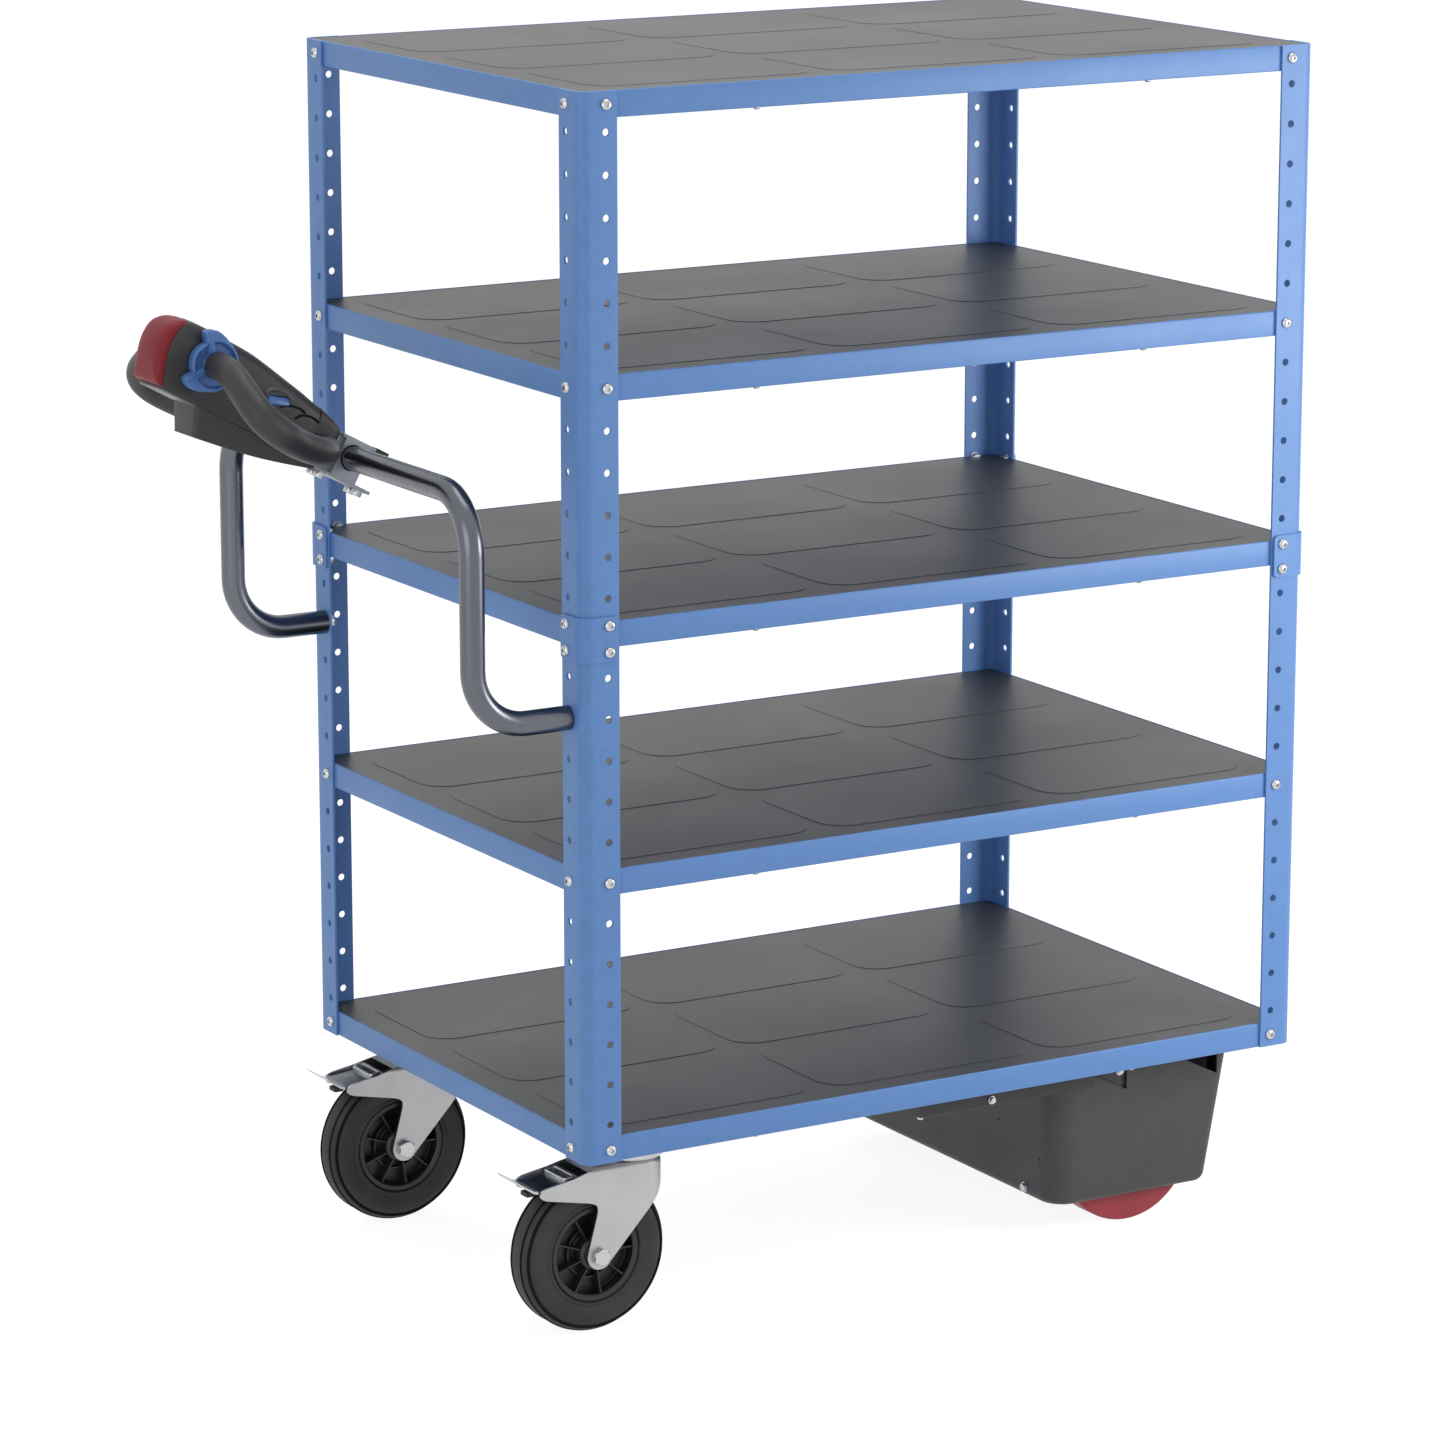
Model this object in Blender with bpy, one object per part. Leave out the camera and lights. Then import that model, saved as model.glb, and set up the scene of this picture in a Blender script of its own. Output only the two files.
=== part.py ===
"""Powered shelf trolley.

Five steel shelves hang in four perforated corner posts. A bent tube handle at
one end carries a control head, two braked castors stand under that end, and a
drive unit with two wheels hangs under the other end.

Everything is laid out from the outer corner of the handle-end, near-side post,
at floor level: X runs along the shelves to the drive end, Y runs across them
to the far side, and Z is up. One empty then moves the whole trolley so that
the origin lies on the floor below its middle. All lengths are in metres.
"""

import math

import bmesh
import bpy
from mathutils import Vector

# General clearances
FIT = 0.0003            # gap between pieces that touch
RUNNING_FIT = 0.0005    # gap round a piece that turns or slides
OVERRUN = 0.010         # how far a cutter reaches past what it cuts

# Corner posts, each made of a lower and an upper half
FRAME_LENGTH = 1.050
FRAME_WIDTH = 0.710
FRAME_BOTTOM = 0.240
HALF_POST = 0.646
POST_LEG = 0.050
POST_SHEET = 0.003
POST_BEND = 0.015
HOLE_RADIUS = 0.0045
HOLE_LINE = 0.035       # from the post's corner to the line of holes
HOLE_SPACING = 0.050
END_HOLE = 0.016        # from the post's end to its end hole
END_STEP = 0.032        # from an end hole to the first of the evenly spaced holes

# Sleeves over the joints of the half posts
SPLICE_HEIGHT = 0.054
SPLICE_LEG = 0.048

# Shelves
LIP_HEIGHT = 0.032
TRAY_SHEET = 0.002
RETURN_WIDTH = 0.015
SHEET_CORNER = 0.003    # least corner radius of the pressed sheet
DECK_THICKNESS = 0.004
SECOND_SHELF_HOLE = 5   # hole of the upper half post that carries the shelf
FOURTH_SHELF_HOLE = 6   # hole of the lower half post that carries the shelf
MIDDLE_SHELF_RISE = 0.004

# Handle
TUBE_RADIUS = 0.015
HANDLE_HOLE = 1         # hole that carries the handle, counted down from the joint
HANDLE_REACH = 0.128
HANDLE_RISE = 0.277
HANDLE_BEND = 0.070

# Control head: s runs from the handle tube to the red button, h is its height
HEAD_TILT_DEGREES = 28.8
BODY_REAR = 0.029
BODY_FRONT = 0.292
BODY_HALF_WIDTH = 0.036
BODY_HEIGHT = 0.088
BODY_WALL = 0.0022
TAIL_GAP = 0.0015       # from the guard loop up to the body's tail
TAIL_STEP = 0.010       # from the guard loop forward to the body's lower part
SEAM_DEPTH = 0.018      # how far the rim round the button runs back at the top
CAP_SOCKET = 0.014
CAP_OVERLAP = 0.008
CAP_LENGTH = 0.012
CAP_FIT = 0.0004
BASE_FRONT_TOP = 0.228
BASE_FRONT_BOTTOM = 0.211
BASE_REAR = 0.049
BASE_DEPTH = 0.036
BASE_HALF_WIDTH = 0.030
KNOB_AXIS = 0.234
KNOB_HEIGHT = 0.0235
KNOB_RADIUS = 0.031
KNOB_EAR = 0.012
KNOB_THICKNESS = 0.012
KNOB_BORE = 0.0075
SPIGOT_RADIUS = 0.0065
LOOP_RADIUS = 0.017
LOOP_SWELL = 0.0015
LOOP_REAR = 0.042
LOOP_HALF_WIDTH = 0.168
LOOP_DROP = 0.045
BUTTON_PLACE = 0.132
BUTTON_HEIGHT = 0.020
BUTTON_SIDE = 0.0335
BUTTON_LENGTH = 0.030
BUTTON_WIDTH = 0.0105
BUTTON_DEPTH = 0.009
BUTTON_PROUD = 0.0035
BUTTON_TRAVEL = 0.003
BUTTON_LEAN_DEGREES = 22.0
BUTTON_TILT_DEGREES = 17.0

# Clamp that holds the head on the handle tube
CLAMP_HALF_WIDTH = 0.018
CLAMP_PLATE = 0.004
CLAMP_BLOCK = 0.0185
CLAMP_TAIL = 0.042
CLAMP_UPPER_FACE = 0.019
CLAMP_LOWER_FACE = 0.0275
CLAMP_LIP = 0.024
CLAMP_TONGUE = 0.100
CLAMP_SPLIT = 0.0005

# Castors
KINGPIN_INSET = 0.117
KINGPIN_SIDE = 0.098
CASTOR_TRAIL = 0.061
WHEEL_RADIUS = 0.100
TYRE_WIDTH = 0.050
RIM_RADIUS = 0.0605
RIM_WALL = 0.0075
RIM_WIDTH = 0.044
HUB_RADIUS = 0.020
HUB_WIDTH = 0.058
WEB_THICKNESS = 0.008
RIB_COUNT = 9
RIB_THICKNESS = 0.003
RIB_WIDTH = 0.034
AXLE_RADIUS = 0.006
AXLE_HEAD_RADIUS = 0.0105
AXLE_HEAD = 0.006
FORK_SHEET = 0.003
FORK_INSIDE = 0.060
FORK_NOSE = 0.082       # from the axle to the front end of the fork
FORK_BACK = 0.100       # from the axle to the back of the fork
FORK_CHIN = 0.017       # below the axle
FORK_CROWN = 0.114      # above the axle
CROWN_SHEET = 0.005
TOP_PLATE_LENGTH = 0.135
TOP_PLATE_WIDTH = 0.110
TOP_PLATE_SHEET = 0.005
TOP_PLATE_CORNER = 0.012
RACE_RADIUS = 0.043
RACE_NECK_RADIUS = 0.034
PEDAL_SHEET = 0.003
PEDAL_PIVOT = 0.022     # in front of the axle
PEDAL_HEIGHT = 0.102    # above the axle
PEDAL_SLOPE = 0.008
PEDAL_LIP_LENGTH = 0.026
PEDAL_LIP_RISE = 0.014
PEDAL_WINDOW_LENGTH = 0.022
PEDAL_WINDOW_WIDTH = 0.030
RAIL_SHEET = 0.003
CASTOR_RAIL_WIDTH = 0.134

# Drive unit
DRIVE_AXLE_INSET = 0.180    # from the drive end of the frame to the axle
DRIVE_SIDE = 0.126          # from the near side of the frame to the wheel's middle
DRIVE_WHEEL_RADIUS = 0.100
DRIVE_TYRE_WIDTH = 0.040
DRIVE_TYRE_DEPTH = 0.036
DRIVE_TYRE_EDGE = 0.004
DRIVE_HUB_BOSS = 0.028
DRIVE_HUB_WEB = 0.014
DRIVE_SHAFT_RADIUS = 0.010
CASING_FRONT = 0.135        # from the axle towards the handle
CASING_BACK = 0.107         # from the axle towards the drive end, at the bottom
CASING_DRAFT = 0.037        # how much further the back reaches at the top
CASING_SIDE = 0.080         # from the side of the frame to the casing
CASING_BOTTOM = 0.042
CASING_WALL = 0.003
CASING_CORNER = 0.036
CASING_BACK_CORNER = 0.016
CASING_EDGE = 0.012
WHEEL_SLOT_GAP = 0.004
NOTCH_LENGTH = 0.070
NOTCH_HEIGHT = 0.035
NOTCH_TOP = 0.222
NOTCH_FRONT = 0.023         # from the axle towards the handle, to the notch's tall side
NOTCH_BACK = 0.136
DRIVE_PLATE_SHEET = 0.004
DRIVE_RAIL_WIDTH = 0.060
DRIVE_RAIL_SPREAD = 0.190
ARM_FRONT = 0.553           # from the drive end of the frame to the arm's tip
ARM_LAP = 0.0105            # how far the arm reaches past the edge of the front rail
ARM_WIDTH = 0.026
ARM_HEIGHT = 0.024
ARM_SIDE = 0.028
MOTOR_RADIUS = 0.048
MOTOR_LENGTH = 0.110
MOTOR_GAP = 0.004
MOTOR_FOOT = 0.060
BATTERY_LENGTH = 0.180
BATTERY_GAP = 0.010         # from the battery to a motor
BATTERY_HEIGHT = 0.160

# How finely round shapes are cut
BEND_STEPS = 3
TUBE_SIDES = 12
TUBE_BEND_STEPS = 5
LOOP_SIDES = 10
WHEEL_SIDES = 24
BOLT_SIDES = 12
HOLE_SIDES = 6
SMOOTH_ANGLE_DEGREES = 35.0

# Heights that follow from the sizes above
JOINT_HEIGHT = FRAME_BOTTOM + HALF_POST
FRAME_TOP = JOINT_HEIGHT + HALF_POST
MID_WIDTH = FRAME_WIDTH / 2
RECESS = POST_SHEET + FIT
HANDLE_LOW = JOINT_HEIGHT - END_HOLE - END_STEP - HANDLE_HOLE * HOLE_SPACING
HANDLE_TOP = HANDLE_LOW + HANDLE_RISE
TRAY_FLOOR_DROP = DECK_THICKNESS + FIT + TRAY_SHEET
BODY_FLOOR = FIT - CLAMP_LOWER_FACE

HEAD_COS = math.cos(math.radians(HEAD_TILT_DEGREES))
HEAD_SIN = math.sin(math.radians(HEAD_TILT_DEGREES))

# The sleeves reach furthest at the drive end
TRAILING_END = FRAME_LENGTH + POST_SHEET + FIT

# Colours (linear), roughness and metallic value of each material
FINISHES = {
    "blue_paint": ((0.105, 0.225, 0.52), 0.45, 0.0),
    "deck_grey": ((0.055, 0.055, 0.056), 0.55, 0.0),
    "tube_steel": ((0.20, 0.22, 0.25), 0.25, 0.9),
    "head_black": ((0.022, 0.022, 0.023), 0.50, 0.0),
    "grip_black": ((0.016, 0.016, 0.017), 0.45, 0.0),
    "button_red": ((0.30, 0.028, 0.035), 0.40, 0.0),
    "control_blue": ((0.055, 0.17, 0.50), 0.35, 0.0),
    "zinc": ((0.55, 0.56, 0.58), 0.30, 0.9),
    "rubber": ((0.018, 0.018, 0.019), 0.60, 0.0),
    "rim_black": ((0.012, 0.012, 0.013), 0.45, 0.0),
    "casing_grey": ((0.045, 0.045, 0.047), 0.50, 0.0),
    "dark_steel": ((0.03, 0.03, 0.032), 0.45, 0.6),
    "tread_red": ((0.33, 0.035, 0.045), 0.50, 0.0),
    "motor_grey": ((0.16, 0.16, 0.17), 0.40, 0.6),
    "battery_grey": ((0.08, 0.08, 0.085), 0.50, 0.0),
}


def clear_scene():
    for obj in list(bpy.data.objects):
        bpy.data.objects.remove(obj, do_unlink=True)


def make_materials():
    materials = {}
    for name, (colour, roughness, metallic) in FINISHES.items():
        material = bpy.data.materials.new(name)
        material.use_nodes = True
        shader = material.node_tree.nodes["Principled BSDF"]
        shader.inputs["Base Color"].default_value = (*colour, 1.0)
        shader.inputs["Roughness"].default_value = roughness
        shader.inputs["Metallic"].default_value = metallic
        material.diffuse_color = (*colour, 1.0)
        materials[name] = material
    return materials


def add_piece(name, rings, finish, origin=(0, 0, 0), closed=False):
    """Skin a row of rings into one solid, with its object's origin at origin.

    Each ring is a list of as many points. The ends are capped, or joined to
    each other when closed is true.
    """
    offset = Vector(origin)
    bm = bmesh.new()
    rows = [[bm.verts.new(Vector(point) - offset) for point in ring] for ring in rings]
    count = len(rows[0])
    pairs = list(zip(rows, rows[1:]))
    if closed:
        pairs.append((rows[-1], rows[0]))
    for first, second in pairs:
        for i in range(count):
            j = (i + 1) % count
            bm.faces.new((first[i], first[j], second[j], second[i]))
    if not closed:
        bm.faces.new(rows[0])
        bm.faces.new(rows[-1])
    return finish_piece(name, bm, finish, offset)


def finish_piece(name, bm, finish, offset):
    bmesh.ops.recalc_face_normals(bm, faces=bm.faces)
    mesh = bpy.data.meshes.new(name)
    bm.to_mesh(mesh)
    bm.free()
    mesh.shade_smooth()
    mesh.set_sharp_from_angle(angle=math.radians(SMOOTH_ANGLE_DEGREES))
    obj = bpy.data.objects.new(name, mesh)
    obj.location = offset
    obj.parent = trolley
    bpy.context.scene.collection.objects.link(obj)
    if finish is not None:
        mesh.materials.append(materials[finish])
    return obj


def add_cutter(name, ring_groups, origin=(0, 0, 0)):
    """Several separate solids in one hidden mesh, for a Boolean."""
    offset = Vector(origin)
    bm = bmesh.new()
    for rings in ring_groups:
        rows = [[bm.verts.new(Vector(point) - offset) for point in ring] for ring in rings]
        count = len(rows[0])
        for first, second in zip(rows, rows[1:]):
            for i in range(count):
                j = (i + 1) % count
                bm.faces.new((first[i], first[j], second[j], second[i]))
        bm.faces.new(rows[0])
        bm.faces.new(rows[-1])
    cutter = finish_piece(name, bm, None, offset)
    cutter.hide_render = True
    cutter.display_type = "WIRE"
    return cutter


def combine(piece, cutter, operation):
    modifier = piece.modifiers.new(cutter.name, "BOOLEAN")
    modifier.operation = operation
    modifier.solver = "EXACT"
    modifier.object = cutter


def cut(piece, cutter):
    combine(piece, cutter, "DIFFERENCE")


def join(piece, extra):
    combine(piece, extra, "UNION")


def arc(centre, radius, start, end, steps):
    """Points of an arc in a plane, angles in degrees."""
    points = []
    for i in range(steps + 1):
        angle = math.radians(start + (end - start) * i / steps)
        points.append((centre[0] + radius * math.cos(angle), centre[1] + radius * math.sin(angle)))
    return points


def rounded_rectangle(x0, x1, y0, y1, radius, back_radius, steps=BEND_STEPS):
    """A rectangle with corners of one radius at x0 and of another at x1."""
    return (
        arc((x1 - back_radius, y0 + back_radius), back_radius, -90, 0, steps)
        + arc((x1 - back_radius, y1 - back_radius), back_radius, 0, 90, steps)
        + arc((x0 + radius, y1 - radius), radius, 90, 180, steps)
        + arc((x0 + radius, y0 + radius), radius, 180, 270, steps)
    )


def at_height(outline, z):
    return [(x, y, z) for x, y in outline]


def across(outline, y):
    """An outline in X and Z, placed at y."""
    return [(x, y, z) for x, z in outline]


def box_rings(low, high):
    outline = [(low[0], low[1]), (high[0], low[1]), (high[0], high[1]), (low[0], high[1])]
    return [at_height(outline, low[2]), at_height(outline, high[2])]


def circle(centre, radius, sides, axis):
    """A ring of points round an axis that runs along X, Y or Z."""
    points = []
    for i in range(sides):
        angle = 2 * math.pi * i / sides
        a = radius * math.cos(angle)
        b = radius * math.sin(angle)
        step = {"X": (0, a, b), "Y": (a, 0, b), "Z": (a, b, 0)}[axis]
        points.append(tuple(centre[k] + step[k] for k in range(3)))
    return points


def turned(centre, profile, sides):
    """Rings of a solid turned round an axis along Y: profile is (radius, y)."""
    rings = []
    for i in range(sides):
        angle = 2 * math.pi * i / sides
        rings.append([
            (centre[0] + r * math.cos(angle), centre[1] + y, centre[2] + r * math.sin(angle))
            for r, y in profile
        ])
    return rings


def swept(path, radii, sides):
    """Rings of a round bar along a path, without twist.

    The radius may step where two points of the path coincide.
    """
    points = [Vector(point) for point in path]
    side = None
    rings = []
    for i, (point, radius) in enumerate(zip(points, radii)):
        before = next((point - p for p in reversed(points[:i]) if (point - p).length > FIT), Vector())
        after = next((p - point for p in points[i + 1:] if (p - point).length > FIT), Vector())
        tangent = (before.normalized() + after.normalized()).normalized()
        if side is None:
            side = tangent.orthogonal()
        side = (side - tangent * side.dot(tangent)).normalized()
        other = tangent.cross(side)
        ring = []
        for k in range(sides):
            angle = 2 * math.pi * k / sides
            ring.append(tuple(point + radius * (side * math.cos(angle) + other * math.sin(angle))))
        rings.append(ring)
    return rings


def bent_path(corners, radius, steps):
    """A path through corners, each inner one rounded to the bend radius."""
    corners = [Vector(corner) for corner in corners]
    path = [corners[0]]
    for before, corner, after in zip(corners, corners[1:], corners[2:]):
        inward = (before - corner).normalized()
        outward = (after - corner).normalized()
        centre = corner + (inward + outward) * radius
        for i in range(steps + 1):
            angle = math.pi / 2 * i / steps
            path.append(centre - outward * radius * math.cos(angle) - inward * radius * math.sin(angle))
    path.append(corners[-1])
    return path


# Frame

CORNERS = {
    "handle_near": (0, 0, 1, 1),
    "handle_far": (0, FRAME_WIDTH, 1, -1),
    "drive_near": (FRAME_LENGTH, 0, -1, 1),
    "drive_far": (FRAME_LENGTH, FRAME_WIDTH, -1, -1),
}


def angle_outline(corner, start, leg, sheet, bend):
    """Outline of an angle section whose outer faces lie start inside the corner."""
    x0, y0, dx, dy = CORNERS[corner]
    middle = (start + bend, start + bend)
    points = (
        [(start + leg, start)]
        + arc(middle, bend, -90, -180, BEND_STEPS)
        + [(start, start + leg), (start + sheet, start + leg)]
        + arc(middle, bend - sheet, -180, -90, BEND_STEPS)
        + [(start + leg, start + sheet)]
    )
    return [(x0 + dx * p, y0 + dy * q) for p, q in points]


def post_hole_heights(bottom):
    first = END_HOLE + END_STEP
    spaces = math.floor((HALF_POST - 2 * first + FIT) / HOLE_SPACING)
    heights = [bottom + first + i * HOLE_SPACING for i in range(spaces + 1)]
    return [bottom + END_HOLE] + heights + [bottom + HALF_POST - END_HOLE]


def add_half_post(corner, half, bottom):
    name = f"post_{corner}_{half}"
    outline = angle_outline(corner, 0, POST_LEG, POST_SHEET, POST_BEND)
    rings = [at_height(outline, z) for z in (bottom, bottom + HALF_POST)]
    post = add_piece(name, rings, "blue_paint")
    x0, y0, dx, dy = CORNERS[corner]
    near = -OVERRUN
    deep = POST_SHEET + OVERRUN
    holes = []
    for z in post_hole_heights(bottom):
        along = x0 + dx * HOLE_LINE
        sideways = y0 + dy * HOLE_LINE
        for axis, ends in (
            ("Y", [(along, y0 + dy * q, z) for q in (near, deep)]),
            ("X", [(x0 + dx * p, sideways, z) for p in (near, deep)]),
        ):
            holes.append([circle(end, HOLE_RADIUS, HOLE_SIDES, axis) for end in ends])
    cut(post, add_cutter(f"{name}_holes", holes))


def add_splice(corner):
    outline = angle_outline(corner, -(POST_SHEET + FIT), SPLICE_LEG + POST_SHEET, POST_SHEET,
                            POST_BEND + POST_SHEET + FIT)
    low = JOINT_HEIGHT - SPLICE_HEIGHT / 2
    add_piece(f"splice_{corner}", [at_height(outline, low), at_height(outline, low + SPLICE_HEIGHT)],
              "blue_paint")


def shelf_outline(inset):
    """A shelf's outline, inset from the lip's outer face."""
    start = RECESS + inset
    radius = max(POST_BEND - start, SHEET_CORNER)
    return rounded_rectangle(start, FRAME_LENGTH - start, start, FRAME_WIDTH - start, radius, radius)


def add_shelf(name, middle):
    """A pressed tray: lips all round, a sunk floor and lips turned in below."""
    top = middle + LIP_HEIGHT / 2
    bottom = middle - LIP_HEIGHT / 2
    seat = top - DECK_THICKNESS - FIT
    outer = shelf_outline(0)
    inner = shelf_outline(TRAY_SHEET)
    turned_in = shelf_outline(RETURN_WIDTH)
    add_piece(f"{name}_tray", [
        at_height(inner, seat),
        at_height(inner, top),
        at_height(outer, top),
        at_height(outer, bottom),
        at_height(turned_in, bottom),
        at_height(turned_in, bottom + TRAY_SHEET),
        at_height(inner, bottom + TRAY_SHEET),
        at_height(inner, seat - TRAY_SHEET),
    ], "blue_paint")
    deck = shelf_outline(TRAY_SHEET + FIT)
    add_piece(f"{name}_deck", [at_height(deck, seat + FIT), at_height(deck, top)], "deck_grey")


def add_frame():
    for corner in CORNERS:
        add_half_post(corner, "lower", FRAME_BOTTOM)
        add_half_post(corner, "upper", JOINT_HEIGHT)
        add_splice(corner)
    first_hole = END_HOLE + END_STEP
    shelves = {
        "top_shelf": FRAME_TOP - END_HOLE,
        "second_shelf": JOINT_HEIGHT + first_hole + SECOND_SHELF_HOLE * HOLE_SPACING,
        "middle_shelf": JOINT_HEIGHT + MIDDLE_SHELF_RISE,
        "fourth_shelf": FRAME_BOTTOM + first_hole + FOURTH_SHELF_HOLE * HOLE_SPACING,
        "bottom_shelf": FRAME_BOTTOM + END_HOLE,
    }
    for name, middle in shelves.items():
        add_shelf(name, middle)


def add_rail(name, front, width):
    """A channel across the bottom shelf's underside, open upwards."""
    low = FRAME_BOTTOM + FIT
    top = FRAME_BOTTOM + LIP_HEIGHT - TRAY_FLOOR_DROP - FIT
    outline = [
        (front, low), (front + width, low), (front + width, top),
        (front + width - RAIL_SHEET, top), (front + width - RAIL_SHEET, low + RAIL_SHEET),
        (front + RAIL_SHEET, low + RAIL_SHEET), (front + RAIL_SHEET, top), (front, top),
    ]
    side = RECESS + RETURN_WIDTH + FIT
    add_piece(name, [across(outline, side), across(outline, FRAME_WIDTH - side)], "dark_steel")


def add_handle():
    """A tube that leaves two posts, rises and crosses between them."""
    side = HOLE_LINE
    path = bent_path([
        (-FIT, side, HANDLE_LOW),
        (-HANDLE_REACH, side, HANDLE_LOW),
        (-HANDLE_REACH, side, HANDLE_TOP),
        (-HANDLE_REACH, FRAME_WIDTH - side, HANDLE_TOP),
        (-HANDLE_REACH, FRAME_WIDTH - side, HANDLE_LOW),
        (-FIT, FRAME_WIDTH - side, HANDLE_LOW),
    ], HANDLE_BEND, TUBE_BEND_STEPS)
    add_piece("handle_tube", swept(path, [TUBE_RADIUS] * len(path), TUBE_SIDES), "tube_steel")


# Control head

# Places along the body's tail and along the rest of it, as shares: each with
# its half width and its top, the tail's as a share of the rise to the rest
TAIL_SHARES = ((0.0, 0.22, 0.243), (0.06, 0.45, 0.409), (0.21, 0.62, 0.575), (0.50, 0.75, 0.752),
               (1.0, 0.86, 0.971))
BODY_SHARES = ((0.0, 0.86, 0.735), (0.08, 0.92, 0.775), (0.15, 0.95, 0.815), (0.28, 0.98, 0.875),
               (0.40, 1.0, 0.93), (0.52, 1.0, 0.975), (0.65, 1.0, 0.99), (0.78, 1.0, 1.0),
               (0.87, 0.98, 1.0), (1.0, 0.95, 0.99))

# Half of the body's section: shares of its half width and of its height
SECTION_SHARES = ((1.0, 0.0), (1.0, 0.50), (0.985, 0.70), (0.92, 0.87), (0.70, 0.965), (0.0, 1.0))

# How far the rim round the red button runs back: at each share of the height,
# the share of the seam's depth
SEAM_SHARES = ((0.0, 0.75), (0.2, 0.42), (0.45, 0.08), (0.62, 0.0), (0.80, 0.14), (0.94, 0.60), (1.0, 1.0))

# Sections of the red button past the seam: shares of its length and of its section
CAP_SHARES = ((0.0, 1.0), (0.45, 0.99), (0.76, 0.94), (0.94, 0.85), (1.0, 0.70), (1.0, 0.30))

# The base's underside: shares of its length from the front and of its depth
BASE_SHARES = ((0.0, 1.0), (0.30, 0.83), (0.52, 0.68), (0.73, 0.48), (1.0, 0.18))

# The knob's outline at degrees from its forward side: the share of the ear
KNOB_SHARES = ((0, 0.0), (30, -0.08), (39, -0.05), (44, 0.85), (50, 1.0), (58, 0.98), (68, 0.82),
               (80, 0.53), (95, 0.22), (112, 0.08), (135, 0.0), (158, 0.0), (180, 0.0))

# The guard loop from the knob to the middle of its rear part: shares of its
# length from there to the knob, of its half width and of its drop
LOOP_SHARES = (
    (1.000, 0.304, 0.00),
    (1.000, 0.370, 0.00),
    (1.006, 0.500, 0.06),
    (1.003, 0.640, 0.18),
    (0.955, 0.855, 0.56),
    (0.895, 0.965, 0.80),
    (0.810, 1.000, 0.94),
    (0.690, 0.960, 1.00),
    (0.508, 0.815, 1.00),
    (0.284, 0.632, 0.91),
    (0.112, 0.400, 0.765),
    (0.029, 0.180, 0.645),
    (0.000, 0.000, 0.63),
)


def head_point(s, y, h):
    """A point of the head: s along it from the tube, y sideways, h above it."""
    return (
        -HANDLE_REACH - s * HEAD_COS + h * HEAD_SIN,
        MID_WIDTH + y,
        HANDLE_TOP + s * HEAD_SIN + h * HEAD_COS,
    )


def body_section(half_width, floor, top):
    """The body's section as (y, h) points."""
    half = [(half_width * a, floor + (top - floor) * b) for a, b in SECTION_SHARES]
    return half + [(-y, h) for y, h in reversed(half[:-1])]


def section_at(s, section):
    return [head_point(s, y, h) for y, h in section]


def front_section(inset):
    """The section round the red button, moved in by a wall."""
    _, width, height = BODY_SHARES[-1]
    return body_section(BODY_HALF_WIDTH * width - inset, BODY_FLOOR + inset,
                        BODY_FLOOR + BODY_HEIGHT * height - inset)


def seam_place(h):
    """Where the curved rim round the red button lies at a height."""
    place = (h - BODY_FLOOR) / (BODY_HEIGHT * BODY_SHARES[-1][2])
    for (low, start), (high, end) in zip(SEAM_SHARES, SEAM_SHARES[1:]):
        if place <= high:
            break
    return BODY_FRONT - SEAM_DEPTH * (start + (end - start) * (place - low) / (high - low))


def section_on_seam(section, forward=0.0):
    return [head_point(seam_place(h) + forward, y, h) for y, h in section]


def add_head_body():
    """A housing with a socket in front, its tail lying over the guard loop."""
    tail_floor = KNOB_HEIGHT - LOOP_DROP * LOOP_SHARES[-1][2] + LOOP_RADIUS + TAIL_GAP
    tail_rise = BODY_FLOOR + BODY_HEIGHT * BODY_SHARES[0][2] - tail_floor
    step = LOOP_REAR + LOOP_RADIUS + TAIL_STEP
    rings = []
    for place, width, height in TAIL_SHARES:
        section = body_section(BODY_HALF_WIDTH * width, tail_floor, tail_floor + tail_rise * height)
        rings.append(section_at(BODY_REAR + (step - FIT - BODY_REAR) * place, section))
    for place, width, height in BODY_SHARES[:-1]:
        section = body_section(BODY_HALF_WIDTH * width, BODY_FLOOR, BODY_FLOOR + BODY_HEIGHT * height)
        rings.append(section_at(step + (BODY_FRONT - step) * place, section))
    rings.append(section_on_seam(front_section(0)))
    socket = front_section(BODY_WALL)
    rings.append(section_on_seam(socket))
    rings.append(section_at(BODY_FRONT - SEAM_DEPTH - CAP_SOCKET, socket))
    body = add_piece("head_body", rings, "head_black")

    for side in (-1, 1):
        pocket = button_rings(side, BUTTON_PROUD - BUTTON_DEPTH - BUTTON_TRAVEL - FIT,
                              OVERRUN, RUNNING_FIT)
        cut(body, add_cutter(f"head_body_pocket_{'near' if side < 0 else 'far'}", [pocket]))


def cap_rings():
    """The red button: a plug in the body's socket, then a rounded front."""
    section = front_section(BODY_WALL + CAP_FIT)
    middle = BODY_FLOOR + BODY_HEIGHT / 2
    rings = [section_at(BODY_FRONT - SEAM_DEPTH - CAP_OVERLAP, section)]
    for place, size in CAP_SHARES:
        shrunk = [(y * size, middle + (h - middle) * size) for y, h in section]
        rings.append(section_on_seam(shrunk, CAP_LENGTH * place))
    return rings


def add_belly_button():
    add_piece("belly_button", cap_rings(), "button_red",
              head_point(BODY_FRONT, 0, BODY_FLOOR + BODY_HEIGHT / 2))


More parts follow.
